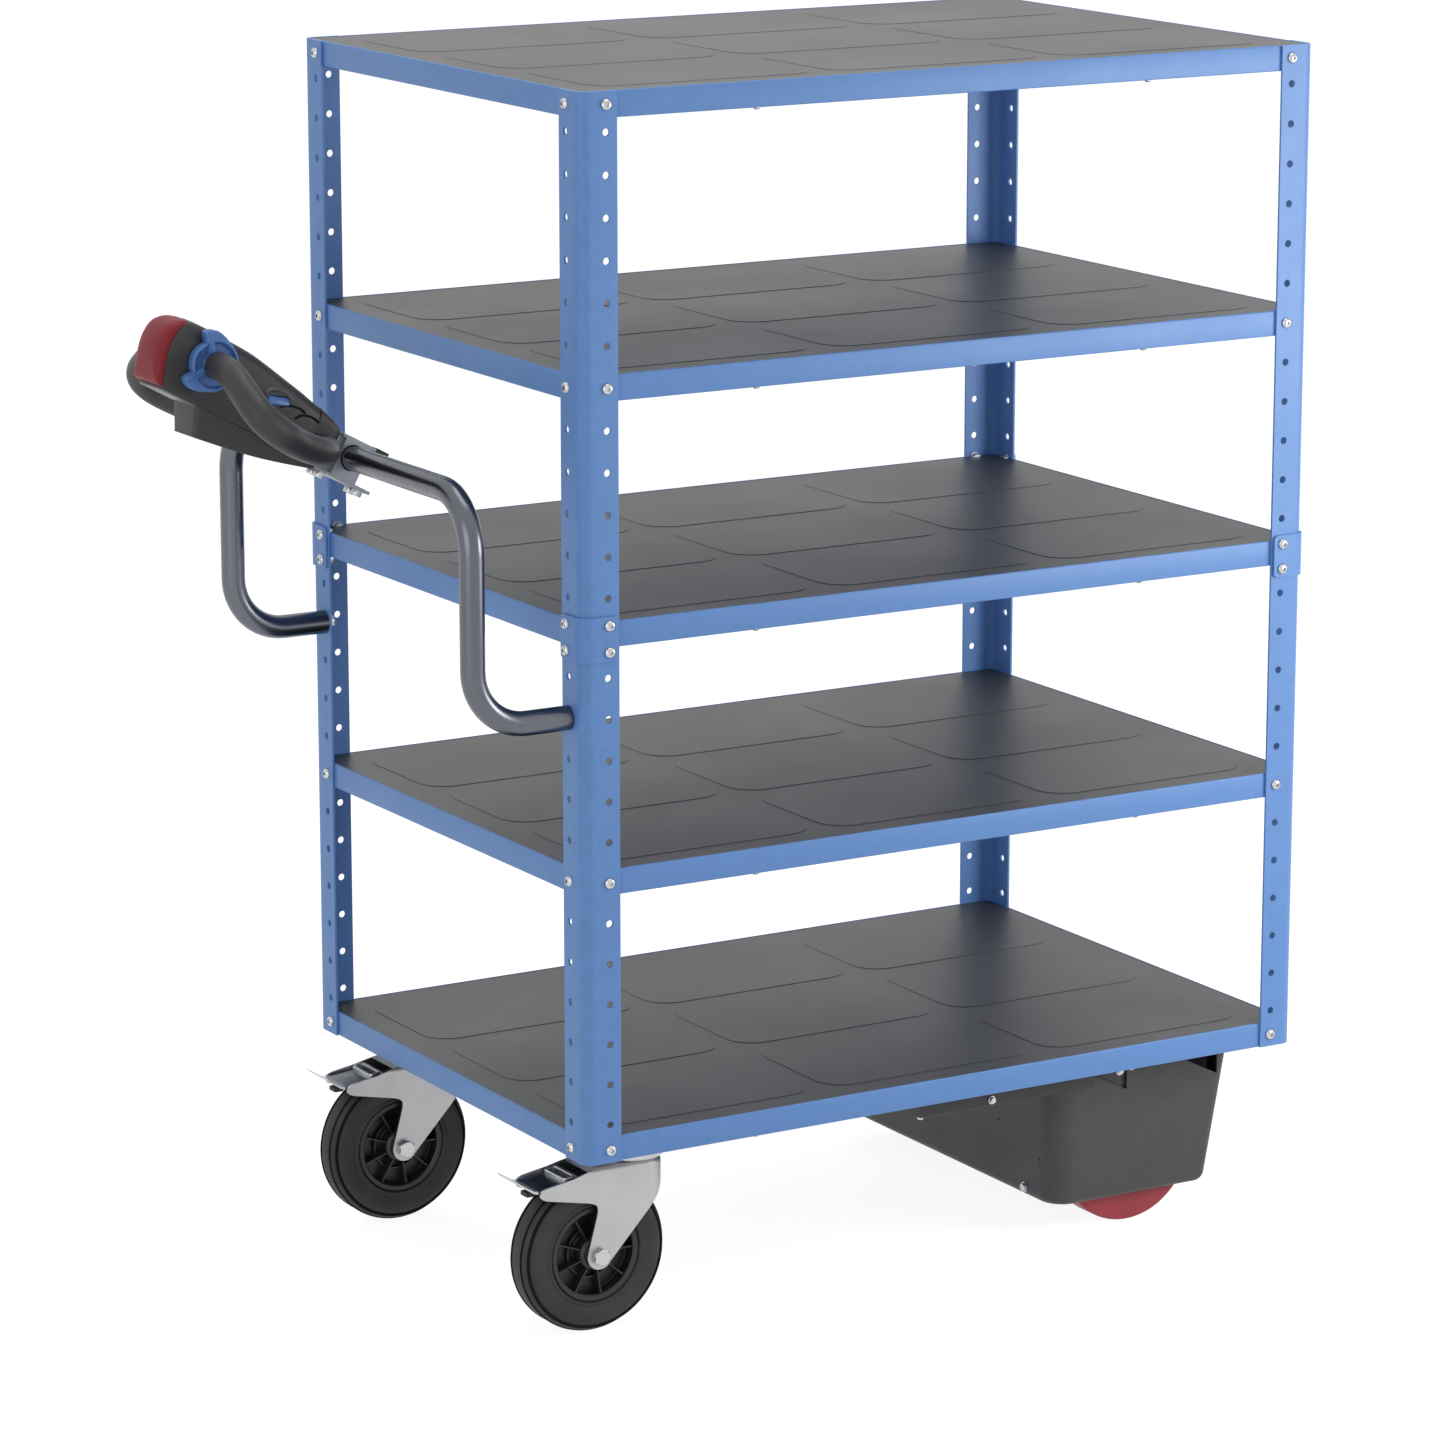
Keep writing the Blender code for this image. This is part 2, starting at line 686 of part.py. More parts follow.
def add_head_base():
    """The wedge-shaped lower housing, slotted for the clamp's tongue."""
    top = BODY_FLOOR - FIT
    length = BASE_FRONT_BOTTOM - BASE_REAR
    outline = [(BASE_FRONT_TOP, top)]
    outline += [(BASE_FRONT_BOTTOM - length * a, top - BASE_DEPTH * b) for a, b in BASE_SHARES]
    outline.append((BASE_REAR, top))
    rings = [[head_point(s, y, h) for s, h in outline] for y in (-BASE_HALF_WIDTH, BASE_HALF_WIDTH)]
    base = add_piece("head_base", rings, "head_black")
    side = CLAMP_HALF_WIDTH + FIT
    low = -CLAMP_LOWER_FACE - CLAMP_PLATE - FIT
    slot = [(-side, low), (side, low), (side, top + OVERRUN), (-side, top + OVERRUN)]
    cut(base, add_cutter("head_base_slot", [[
        section_at(BASE_REAR - OVERRUN, slot), section_at(CLAMP_TONGUE + FIT, slot),
    ]]))


def button_rings(side, low, high, grow):
    """The small side button's block, from depth low to high along its lean."""
    lean = math.radians(BUTTON_LEAN_DEGREES)
    out_y = side * math.cos(lean)
    out_h = math.sin(lean)
    tilt = math.radians(BUTTON_TILT_DEGREES)
    half_length = BUTTON_LENGTH / 2 + grow
    half_width = BUTTON_WIDTH / 2 + grow
    rings = []
    for depth in (low, high):
        ring = []
        for a, b in ((-1, -1), (1, -1), (1, 1), (-1, 1)):
            along = a * half_length * math.cos(tilt) + b * half_width * math.sin(tilt)
            upward = b * half_width * math.cos(tilt) - a * half_length * math.sin(tilt)
            y = side * BUTTON_SIDE + depth * out_y - upward * out_h * side
            h = BUTTON_HEIGHT + depth * out_h + upward * math.cos(lean)
            ring.append(head_point(BUTTON_PLACE + along, y, h))
        rings.append(ring)
    return rings


def add_head_buttons():
    for side, name in ((-1, "near"), (1, "far")):
        add_piece(f"horn_button_{name}", button_rings(side, BUTTON_PROUD - BUTTON_DEPTH, BUTTON_PROUD, 0),
                  "control_blue", head_point(BUTTON_PLACE, side * BUTTON_SIDE, BUTTON_HEIGHT))


def knob_outline(inner):
    """A disc with an upper and a lower ear, or its round bore."""
    upper = [(angle, KNOB_RADIUS + KNOB_EAR * share) for angle, share in KNOB_SHARES]
    lower = [(-angle, radius) for angle, radius in reversed(upper[1:-1])]
    points = []
    for angle, radius in upper + lower:
        if inner:
            radius = KNOB_BORE
        turn = math.radians(angle)
        points.append((KNOB_AXIS + radius * math.cos(turn), KNOB_HEIGHT + radius * math.sin(turn)))
    return points


def add_throttle():
    """Two butterfly knobs, one on each side, which turn together."""
    start = BODY_HALF_WIDTH + RUNNING_FIT
    for side, name in ((-1, "near"), (1, "far")):
        rings = []
        for inner, depth in ((False, 0), (False, KNOB_THICKNESS), (True, KNOB_THICKNESS), (True, 0)):
            y = side * (start + depth)
            rings.append([head_point(s, y, h) for s, h in knob_outline(inner)])
        add_piece(f"throttle_knob_{name}", rings, "control_blue",
                  head_point(KNOB_AXIS, side * start, KNOB_HEIGHT), closed=True)


def loop_path():
    """Half of the guard loop's middle line, from the near knob to its rear."""
    length = KNOB_AXIS - LOOP_REAR
    return [
        (LOOP_REAR + length * a, -LOOP_HALF_WIDTH * b, KNOB_HEIGHT - LOOP_DROP * c)
        for a, b, c in LOOP_SHARES
    ]


def add_guard_loop():
    """A thick hand guard from one knob round the rear of the head to the other."""
    half = loop_path()
    path = half + [(s, -y, h) for s, y, h in reversed(half[:-1])]
    count = len(path)
    radii = [LOOP_RADIUS + LOOP_SWELL * math.sin(2 * math.pi * i / (count - 1)) ** 2 for i in range(count)]
    s, y, h = half[0]
    spigot = [(s, -(BODY_HALF_WIDTH + FIT), h), (s, y, h)]
    mirrored = [(s, -y, h) for s, y, h in reversed(spigot)]
    path = [head_point(*p) for p in spigot + path + mirrored]
    radii = [SPIGOT_RADIUS, SPIGOT_RADIUS] + radii + [SPIGOT_RADIUS, SPIGOT_RADIUS]
    add_piece("guard_loop", swept(path, radii, LOOP_SIDES), "grip_black")


def add_clamp():
    """Two plates with saddles round the tube; the lower one runs into the body."""
    bore = (TUBE_RADIUS + FIT) / math.cos(math.pi / (4 * BEND_STEPS))
    upper = (
        [(-CLAMP_TAIL, CLAMP_UPPER_FACE), (-CLAMP_BLOCK, CLAMP_UPPER_FACE), (-CLAMP_BLOCK, CLAMP_SPLIT)]
        + arc((0, CLAMP_SPLIT), bore, 180, 0, 2 * BEND_STEPS)
        + [(CLAMP_BLOCK, CLAMP_SPLIT), (CLAMP_BLOCK, CLAMP_UPPER_FACE), (CLAMP_LIP, CLAMP_UPPER_FACE),
           (CLAMP_LIP, CLAMP_UPPER_FACE + CLAMP_PLATE), (-CLAMP_TAIL, CLAMP_UPPER_FACE + CLAMP_PLATE)]
    )
    floor = -CLAMP_LOWER_FACE
    lower = (
        [(-CLAMP_TAIL, floor), (-CLAMP_BLOCK, floor), (-CLAMP_BLOCK, -CLAMP_SPLIT)]
        + arc((0, -CLAMP_SPLIT), bore, 180, 360, 2 * BEND_STEPS)
        + [(CLAMP_BLOCK, -CLAMP_SPLIT), (CLAMP_BLOCK, floor), (CLAMP_TONGUE, floor),
           (CLAMP_TONGUE, floor - CLAMP_PLATE), (-CLAMP_TAIL, floor - CLAMP_PLATE)]
    )
    for name, outline in (("clamp_upper", upper), ("clamp_lower", lower)):
        rings = [[head_point(s, y, h) for s, h in outline] for y in (-CLAMP_HALF_WIDTH, CLAMP_HALF_WIDTH)]
        add_piece(name, rings, "zinc")


# Castors

# The fork's side: shares of its nose or back, and of its crown, from the axle
FORK_FRONT_SHARES = ((-1.0, 0.735), (-0.09, 0.60), (-0.01, 0.54))
FORK_BACK_SHARES = ((0.74, 0.48), (1.0, 0.56), (1.0, 1.0), (0.05, 1.0))
FORK_TOP_SHARES = ((-0.44, 0.91), (-1.0, 0.845))


def fork_outline(x, z):
    """The fork's side as points in X and Z, round an axle at (x, z)."""
    lower = [(x + FORK_NOSE * a, z + FORK_CROWN * b) for a, b in FORK_FRONT_SHARES]
    chin = arc((x, z), FORK_CHIN, 170, 330, 2 * BEND_STEPS)
    behind = [(x + FORK_BACK * a, z + FORK_CROWN * b) for a, b in FORK_BACK_SHARES]
    upper = [(x + FORK_NOSE * a, z + FORK_CROWN * b) for a, b in FORK_TOP_SHARES]
    return lower + chin + behind + upper


def fork_plan(axle, half_width, grow):
    """The fork from above: two straight cheeks joined round its back."""
    middle = axle[0] + FORK_BACK - FORK_INSIDE / 2 - FORK_SHEET
    nose = axle[0] - FORK_NOSE - grow
    back = arc((middle, axle[1]), half_width, -90, 90, 2 * BEND_STEPS)
    return [(nose, axle[1] - half_width)] + back + [(nose, axle[1] + half_width)]


def add_fork(name, axle, kingpin):
    """Two cheeks, a crown and a rounded back, pressed from one sheet."""
    outer = FORK_INSIDE / 2 + FORK_SHEET
    outline = fork_outline(axle[0], axle[2])
    rings = [across(outline, axle[1] + side * (outer + OVERRUN)) for side in (-1, 1)]
    fork = add_piece(f"{name}_fork", rings, "zinc", kingpin)
    low = axle[2] - FORK_CHIN - OVERRUN
    under_crown = axle[2] + FORK_CROWN - CROWN_SHEET
    shell = [at_height(fork_plan(axle, outer, OVERRUN), z)
             for z in (low, axle[2] + FORK_CROWN + OVERRUN)]
    inside = [at_height(fork_plan(axle, FORK_INSIDE / 2, 2 * OVERRUN), z)
              for z in (low - OVERRUN, under_crown)]
    bore = [circle((axle[0], axle[1] + side * (outer + OVERRUN), axle[2]), AXLE_RADIUS + FIT,
                   BOLT_SIDES, "Y") for side in (-1, 1)]
    combine(fork, add_cutter(f"{name}_fork_shell", [shell], kingpin), "INTERSECT")
    cut(fork, add_cutter(f"{name}_fork_inside", [inside], kingpin))
    cut(fork, add_cutter(f"{name}_fork_bore", [bore], kingpin))


def hexagon(centre, radius):
    """Twelve points on a hexagon across Y, to meet a round ring of twelve."""
    points = []
    for i in range(BOLT_SIDES):
        angle = 2 * math.pi * i / BOLT_SIDES
        r = radius if i % 2 == 0 else radius * math.cos(math.pi / 6)
        points.append((centre[0] + r * math.cos(angle), centre[1], centre[2] + r * math.sin(angle)))
    return points


def add_axle(name, axle):
    face = FORK_INSIDE / 2 + FORK_SHEET + FIT

    def place(y):
        return (axle[0], axle[1] + y, axle[2])

    rings = [
        hexagon(place(-face - AXLE_HEAD), AXLE_HEAD_RADIUS),
        hexagon(place(-face), AXLE_HEAD_RADIUS),
        circle(place(-face), AXLE_RADIUS, BOLT_SIDES, "Y"),
        circle(place(face), AXLE_RADIUS, BOLT_SIDES, "Y"),
        hexagon(place(face), AXLE_HEAD_RADIUS),
        hexagon(place(face + AXLE_HEAD), AXLE_HEAD_RADIUS),
    ]
    add_piece(f"{name}_axle", rings, "zinc", axle)


# The tyre's section: shares of its depth and of its half width
TYRE_SHARES = (
    (0.0, -0.86), (0.20, -0.97), (0.55, -0.98), (0.82, -0.78), (0.97, -0.36),
    (0.97, 0.36), (0.82, 0.78), (0.55, 0.98), (0.20, 0.97), (0.0, 0.86),
)


def add_wheel(name, axle):
    seat = RIM_RADIUS + FIT
    depth = WHEEL_RADIUS - seat
    half = TYRE_WIDTH / 2
    crown = [(WHEEL_RADIUS, 0)]
    profile = [(seat + depth * a, half * b) for a, b in TYRE_SHARES]
    profile = profile[:5] + crown + profile[5:]
    add_piece(f"{name}_tyre", turned(axle, profile, WHEEL_SIDES), "rubber", axle, closed=True)

    bore = (AXLE_RADIUS + RUNNING_FIT) / math.cos(math.pi / WHEEL_SIDES)
    hub = HUB_WIDTH / 2
    web = WEB_THICKNESS / 2
    rim = RIM_WIDTH / 2
    inside = RIM_RADIUS - RIM_WALL
    half_profile = [(bore, hub), (HUB_RADIUS, hub), (HUB_RADIUS, web), (inside, web),
                    (inside, rim), (RIM_RADIUS, rim)]
    profile = half_profile + [(r, -y) for r, y in reversed(half_profile)]
    wheel = add_piece(f"{name}_rim", turned(axle, profile, WHEEL_SIDES), "rim_black", axle, closed=True)

    ribs = []
    reach = HUB_RADIUS - RIM_WALL / 2
    end = inside + RIM_WALL / 2
    for i in range(RIB_COUNT):
        angle = 2 * math.pi * i / RIB_COUNT
        along = (math.cos(angle), math.sin(angle))
        over = (-along[1], along[0])
        rings = []
        for r in (reach, end):
            ring = []
            for a, b in ((-1, -1), (1, -1), (1, 1), (-1, 1)):
                wide = a * RIB_THICKNESS / 2
                ring.append((axle[0] + r * along[0] + wide * over[0], axle[1] + b * RIB_WIDTH / 2,
                             axle[2] + r * along[1] + wide * over[1]))
            rings.append(ring)
        ribs.append(rings)
    join(wheel, add_cutter(f"{name}_rim_ribs", ribs, axle))


def add_top_plate(name, kingpin):
    """The plate under the shelf rail, with the swivel's ball race below it."""
    top = FRAME_BOTTOM
    x, y, _ = kingpin
    under = top - TOP_PLATE_SHEET
    race_bottom = WHEEL_RADIUS + FORK_CROWN + FIT
    plate = add_piece(f"{name}_plate", [
        at_height(rounded_rectangle(x - TOP_PLATE_LENGTH / 2, x + TOP_PLATE_LENGTH / 2,
                                    y - TOP_PLATE_WIDTH / 2, y + TOP_PLATE_WIDTH / 2,
                                    TOP_PLATE_CORNER, TOP_PLATE_CORNER), z)
        for z in (under, top)
    ], "zinc")
    deep = top - race_bottom
    rings = [
        circle((x, y, race_bottom), RACE_NECK_RADIUS, WHEEL_SIDES, "Z"),
        circle((x, y, race_bottom + deep / 4), RACE_RADIUS, WHEEL_SIDES, "Z"),
        circle((x, y, race_bottom + deep / 2), RACE_RADIUS, WHEEL_SIDES, "Z"),
        circle((x, y, under), RACE_NECK_RADIUS, WHEEL_SIDES, "Z"),
        circle((x, y, under + TOP_PLATE_SHEET / 2), RACE_NECK_RADIUS, WHEEL_SIDES, "Z"),
    ]
    join(plate, add_cutter(f"{name}_plate_race", [rings]))


def add_pedal(name, axle):
    """The brake pedal between the fork's cheeks, with its lip turned up."""
    x, y, z = axle
    pivot = (x - PEDAL_PIVOT, y, z + PEDAL_HEIGHT)
    nose = x - FORK_NOSE
    drop = PEDAL_SLOPE
    outline = [
        (pivot[0], pivot[2]),
        (nose, pivot[2] - drop),
        (nose - PEDAL_LIP_LENGTH, pivot[2] - drop + PEDAL_LIP_RISE),
        (nose - PEDAL_LIP_LENGTH, pivot[2] - drop + PEDAL_LIP_RISE - PEDAL_SHEET),
        (nose, pivot[2] - drop - PEDAL_SHEET),
        (pivot[0], pivot[2] - PEDAL_SHEET),
    ]
    half_width = FORK_INSIDE / 2 - RUNNING_FIT
    rings = [across(outline, y + side * half_width) for side in (-1, 1)]
    pedal = add_piece(f"{name}_brake_pedal", rings, "zinc", pivot)
    middle = (pivot[0] + nose) / 2
    window = box_rings(
        (middle - PEDAL_WINDOW_LENGTH / 2, y - PEDAL_WINDOW_WIDTH / 2, pivot[2] - OVERRUN - drop),
        (middle + PEDAL_WINDOW_LENGTH / 2, y + PEDAL_WINDOW_WIDTH / 2, pivot[2] + OVERRUN),
    )
    cut(pedal, add_cutter(f"{name}_brake_window", [window], pivot))


def add_castors():
    for name, side in (("castor_near", KINGPIN_SIDE), ("castor_far", FRAME_WIDTH - KINGPIN_SIDE)):
        kingpin = (KINGPIN_INSET, side, WHEEL_RADIUS + FORK_CROWN)
        axle = (KINGPIN_INSET - CASTOR_TRAIL, side, WHEEL_RADIUS)
        add_top_plate(name, kingpin)
        add_fork(name, axle, kingpin)
        add_axle(name, axle)
        add_wheel(name, axle)
        add_pedal(name, axle)
    add_rail("castor_rail", KINGPIN_INSET - CASTOR_RAIL_WIDTH / 2, CASTOR_RAIL_WIDTH)


# Drive unit

DRIVE_X = FRAME_LENGTH - DRIVE_AXLE_INSET
CASING_TOP = FRAME_BOTTOM - DRIVE_PLATE_SHEET - FIT


def casing_outline(z, inset):
    rise = (z - CASING_BOTTOM) / (CASING_TOP - CASING_BOTTOM)
    return at_height(rounded_rectangle(
        DRIVE_X - CASING_FRONT + inset, DRIVE_X + CASING_BACK + CASING_DRAFT * rise - inset,
        CASING_SIDE + inset, FRAME_WIDTH - CASING_SIDE - inset, CASING_CORNER - inset,
        CASING_BACK_CORNER - inset,
    ), z)


def add_casing():
    """An open-topped moulded tub with rounded lower edges and wheel slots."""
    rings = []
    for inward, z in arc((CASING_EDGE, CASING_BOTTOM + CASING_EDGE), CASING_EDGE, 270, 180, BEND_STEPS):
        rings.append(casing_outline(z, inward))
    rings.append(casing_outline(CASING_TOP, 0))
    rings.append(casing_outline(CASING_TOP, CASING_WALL))
    rings.append(casing_outline(CASING_BOTTOM + CASING_EDGE, CASING_WALL))
    rings.append(casing_outline(CASING_BOTTOM + CASING_WALL, CASING_EDGE))
    casing = add_piece("drive_casing", rings, "casing_grey")

    half_width = DRIVE_TYRE_WIDTH / 2 + WHEEL_SLOT_GAP
    drop = DRIVE_WHEEL_RADIUS - CASING_BOTTOM - CASING_EDGE
    half_length = math.sqrt(DRIVE_WHEEL_RADIUS ** 2 - drop ** 2) + WHEEL_SLOT_GAP
    slots = []
    for y in (DRIVE_SIDE, FRAME_WIDTH - DRIVE_SIDE):
        slots.append(box_rings((DRIVE_X - half_length, y - half_width, CASING_BOTTOM - OVERRUN),
                               (DRIVE_X + half_length, y + half_width, CASING_BOTTOM + CASING_EDGE)))
    cut(casing, add_cutter("drive_casing_slots", slots))

    notches = []
    for y0, y1 in ((CASING_SIDE - OVERRUN, CASING_SIDE + CASING_WALL + FIT),
                   (FRAME_WIDTH - CASING_SIDE - CASING_WALL - FIT, FRAME_WIDTH - CASING_SIDE + OVERRUN)):
        for tall_side in (DRIVE_X - NOTCH_FRONT, DRIVE_X + NOTCH_BACK - CASING_BACK_CORNER):
            outline = [(tall_side, NOTCH_TOP), (tall_side, NOTCH_TOP - NOTCH_HEIGHT),
                       (tall_side - NOTCH_LENGTH, NOTCH_TOP)]
            notches.append([across(outline, y0), across(outline, y1)])
    cut(casing, add_cutter("drive_casing_notches", notches))


def add_drive_mount():
    """The plate that closes the casing, its two rails and two steel arms."""
    start = DRIVE_X - CASING_FRONT
    end = DRIVE_X + CASING_BACK + CASING_DRAFT
    top = FRAME_BOTTOM
    add_piece("drive_plate", box_rings((start, CASING_SIDE, top - DRIVE_PLATE_SHEET),
                                       (end, FRAME_WIDTH - CASING_SIDE, top)), "dark_steel")
    rail_front = (start + end - DRIVE_RAIL_SPREAD - DRIVE_RAIL_WIDTH) / 2
    add_rail("drive_rail_front", rail_front, DRIVE_RAIL_WIDTH)
    add_rail("drive_rail_rear", rail_front + DRIVE_RAIL_SPREAD, DRIVE_RAIL_WIDTH)
    tip = FRAME_LENGTH - ARM_FRONT
    low = top - FIT - ARM_HEIGHT
    for name, y in (("drive_arm_near", ARM_SIDE), ("drive_arm_far", FRAME_WIDTH - ARM_SIDE - ARM_WIDTH)):
        add_piece(name, box_rings((tip, y, low), (rail_front + ARM_LAP, y + ARM_WIDTH, top - FIT)),
                  "dark_steel")


def add_drive_wheels():
    """Two driven wheels, each on a motor's shaft."""
    for name, y, inward in (("drive_near", DRIVE_SIDE, 1), ("drive_far", FRAME_WIDTH - DRIVE_SIDE, -1)):
        axle = (DRIVE_X, y, DRIVE_WHEEL_RADIUS)
        seat = DRIVE_WHEEL_RADIUS - DRIVE_TYRE_DEPTH
        half = DRIVE_TYRE_WIDTH / 2
        round_off = DRIVE_TYRE_EDGE
        profile = [(seat, -half), (DRIVE_WHEEL_RADIUS - round_off, -half),
                   (DRIVE_WHEEL_RADIUS, round_off - half), (DRIVE_WHEEL_RADIUS, half - round_off),
                   (DRIVE_WHEEL_RADIUS - round_off, half), (seat, half)]
        add_piece(f"{name}_tyre", turned(axle, profile, WHEEL_SIDES), "tread_red", axle, closed=True)

        web = DRIVE_HUB_WEB / 2
        rim = seat - FIT
        lip = rim - RIM_WALL
        profile = [(DRIVE_HUB_BOSS, -web), (lip, -web), (lip, -half), (rim, -half), (rim, half),
                   (lip, half), (lip, web), (DRIVE_SHAFT_RADIUS, web),
                   (DRIVE_SHAFT_RADIUS, half + MOTOR_GAP - FIT)]
        rings = [circle((DRIVE_X, y + inward * depth, DRIVE_WHEEL_RADIUS), radius, WHEEL_SIDES, "Y")
                 for radius, depth in profile]
        add_piece(f"{name}_hub", rings, "motor_grey", axle)

        start = y + inward * (half + MOTOR_GAP)
        end = start + inward * MOTOR_LENGTH
        motor = add_piece(f"{name}_motor", [
            circle((DRIVE_X, start, DRIVE_WHEEL_RADIUS), MOTOR_RADIUS, WHEEL_SIDES, "Y"),
            circle((DRIVE_X, end, DRIVE_WHEEL_RADIUS), MOTOR_RADIUS, WHEEL_SIDES, "Y"),
        ], "motor_grey")
        foot_top = FRAME_BOTTOM - DRIVE_PLATE_SHEET - FIT
        low_y = min(start, end) + MOTOR_GAP
        high_y = max(start, end) - MOTOR_GAP
        join(motor, add_cutter(f"{name}_motor_foot", [box_rings(
            (DRIVE_X - MOTOR_FOOT / 2, low_y, DRIVE_WHEEL_RADIUS),
            (DRIVE_X + MOTOR_FOOT / 2, high_y, foot_top),
        )]))


def add_battery():
    floor = CASING_BOTTOM + CASING_WALL + FIT
    middle = DRIVE_X + (CASING_BACK - CASING_FRONT) / 2
    side = DRIVE_SIDE + DRIVE_TYRE_WIDTH / 2 + MOTOR_GAP + MOTOR_LENGTH + BATTERY_GAP
    add_piece("battery", box_rings(
        (middle - BATTERY_LENGTH / 2, side, floor),
        (middle + BATTERY_LENGTH / 2, FRAME_WIDTH - side, floor + BATTERY_HEIGHT),
    ), "battery_grey")


clear_scene()
materials = make_materials()
trolley = bpy.data.objects.new("trolley", None)
bpy.context.scene.collection.objects.link(trolley)

add_frame()
add_handle()
add_head_body()
add_belly_button()
add_head_base()
add_head_buttons()
add_throttle()
add_guard_loop()
add_clamp()
add_castors()
add_casing()
add_drive_mount()
add_drive_wheels()
add_battery()

leading_end = min(point[0] for ring in cap_rings() for point in ring)
trolley.location = (-(leading_end + TRAILING_END) / 2, -MID_WIDTH, 0)
bpy.context.view_layer.update()
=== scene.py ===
import math

import bmesh
import bpy
from mathutils import Matrix, Vector


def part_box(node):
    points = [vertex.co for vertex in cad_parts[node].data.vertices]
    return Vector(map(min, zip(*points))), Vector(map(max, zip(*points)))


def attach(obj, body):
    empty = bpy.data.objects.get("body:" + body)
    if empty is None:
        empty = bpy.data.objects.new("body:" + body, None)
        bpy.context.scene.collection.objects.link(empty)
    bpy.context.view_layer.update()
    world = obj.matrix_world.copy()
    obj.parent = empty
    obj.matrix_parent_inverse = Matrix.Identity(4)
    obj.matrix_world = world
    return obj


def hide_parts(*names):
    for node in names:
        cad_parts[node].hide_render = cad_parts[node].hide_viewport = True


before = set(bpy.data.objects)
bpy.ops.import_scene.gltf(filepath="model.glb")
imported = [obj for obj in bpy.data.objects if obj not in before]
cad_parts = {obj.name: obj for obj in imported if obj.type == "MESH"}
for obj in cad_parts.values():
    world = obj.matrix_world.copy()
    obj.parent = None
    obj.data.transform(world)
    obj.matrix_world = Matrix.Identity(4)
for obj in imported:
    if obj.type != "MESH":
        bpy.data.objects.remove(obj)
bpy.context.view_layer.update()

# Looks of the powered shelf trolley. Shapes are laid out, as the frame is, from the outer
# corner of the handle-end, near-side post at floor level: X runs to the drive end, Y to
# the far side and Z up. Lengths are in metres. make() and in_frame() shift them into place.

FIT = 0.0003
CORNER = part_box("post_handle_near_lower")[0]
FAR_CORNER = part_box("post_drive_far_upper")[1]
LENGTH = FAR_CORNER.x - CORNER.x
WIDTH = FAR_CORNER.y - CORNER.y
BOTTOM = CORNER.z
TOP = FAR_CORNER.z
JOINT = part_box("post_handle_near_lower")[1].z
MID_WIDTH = WIDTH / 2
SIDES = ((-1, "near"), (1, "far"))
# How far a cutting shape stands past what it cuts, the widths of small bevels, the bend that still
# counts as a curve, and the share of a side that a rounded corner may take
OVERRUN = 0.010
FINE_EDGE = 0.0004
SOFT_EDGE = 0.0006
CURVE_DEGREES = 14
CORNER_SHARE = 0.45

# Posts and sleeves
POST_LEG = 0.050
POST_SHEET = 0.003
POST_BEND = 0.015
HOLE_RADIUS = 0.0045
HOLE_LINE = 0.035
HOLE_PITCH = 0.050
HOLE_COUNT = 12
END_HOLE = 0.016
END_STEP = 0.032
FIRST_HOLE = END_HOLE + END_STEP
SPLICE_HEIGHT = 0.054
SPLICE_LEG = 0.048
SPLICE_CORNER = 0.006
SPLICE_STEPS = 6

# Shelves
LIP_HEIGHT = 0.032
TRAY_SHEET = 0.002
TRAY_EDGE = 0.0016
RETURN_WIDTH = 0.015
DECK_THICKNESS = 0.004
RECESS = POST_SHEET + FIT
MIDDLE_SHELF_LIFT = 0.004
PANEL_LENGTH = 0.306
PANEL_WIDTH = 0.196
PANEL_PITCH_X = 0.326
PANEL_PITCH_Y = 0.216
PANEL_CORNER = 0.038
EMBOSS = 0.0006
EMBOSS_SLOPE = 0.0008
UNDER_SCREW_X = 0.245
UNDER_SCREW_Y = 0.0115

# Handle and head
TUBE_RADIUS = 0.015
HANDLE_REACH = 0.128
HANDLE_LOW = 0.788
HANDLE_TOP = 1.065
HANDLE_BEND = 0.070
HEAD_TILT_DEGREES = 28.8
BODY_REAR = 0.029
BODY_FRONT = 0.292
BODY_HALF_WIDTH = 0.036
BODY_HEIGHT = 0.088
BODY_FLOOR = -0.0272
BODY_RIM = 0.0009
TAIL_STEP = 0.010
TAIL_TIP = 0.0016
TAIL_TIP_LIFT = 0.001
TAIL_TIP_WIDTH_SHARE = 0.6
TAIL_TIP_HEIGHT_SHARE = 0.7
SEAM_DEPTH = 0.018
CAP_SOCKET = 0.014
CAP_OVERLAP = 0.008
CAP_LENGTH = 0.012
CHIN_SHEET = 0.003
CHIN_FRONT = 0.2785
CHIN_HALF_WIDTH = 0.0335
CHIN_CORNERS = (0.008, 0.008, 0.001, 0.001)
BASE_FRONT_TOP = 0.228
BASE_FRONT_BOTTOM = 0.211
BASE_REAR = 0.049
BASE_DEPTH = 0.036
BASE_HALF_WIDTH = 0.0305
BASE_DRAFT = 0.004
BASE_CORNER = 0.006
BASE_LAYERS = 30
BASE_LAST_SHARE = 0.985
KNOB_AXIS = 0.234
KNOB_HEIGHT = 0.0235
KNOB_RADIUS = 0.031
KNOB_EAR = 0.012
KNOB_THICKNESS = 0.012
KNOB_BORE = 0.0075
KNOB_RIM = 0.0030
KNOB_DISH = 0.0060
KNOB_HUB = 0.0125
SPIGOT_RADIUS = 0.0065
RUNNING_FIT = 0.0005
KNOB_START = BODY_HALF_WIDTH + RUNNING_FIT
LOOP_RADIUS = 0.017
LOOP_SWELL = 0.0015
LOOP_REAR = 0.042
LOOP_HALF_WIDTH = 0.168
LOOP_DROP = 0.045
LOOP_END_CHAMFER = (0.0015, 0.0006)
TAIL_FLOOR = 0.01365
TAIL_SKIRT = 0.0045
BUTTON_PLACE = 0.132
BUTTON_HEIGHT = 0.020
BUTTON_SIDE = 0.0335
BUTTON_LENGTH = 0.030
BUTTON_WIDTH = 0.0105
BUTTON_CORNER = 0.003
BUTTON_DEPTH = 0.009
BUTTON_PROUD = 0.0035
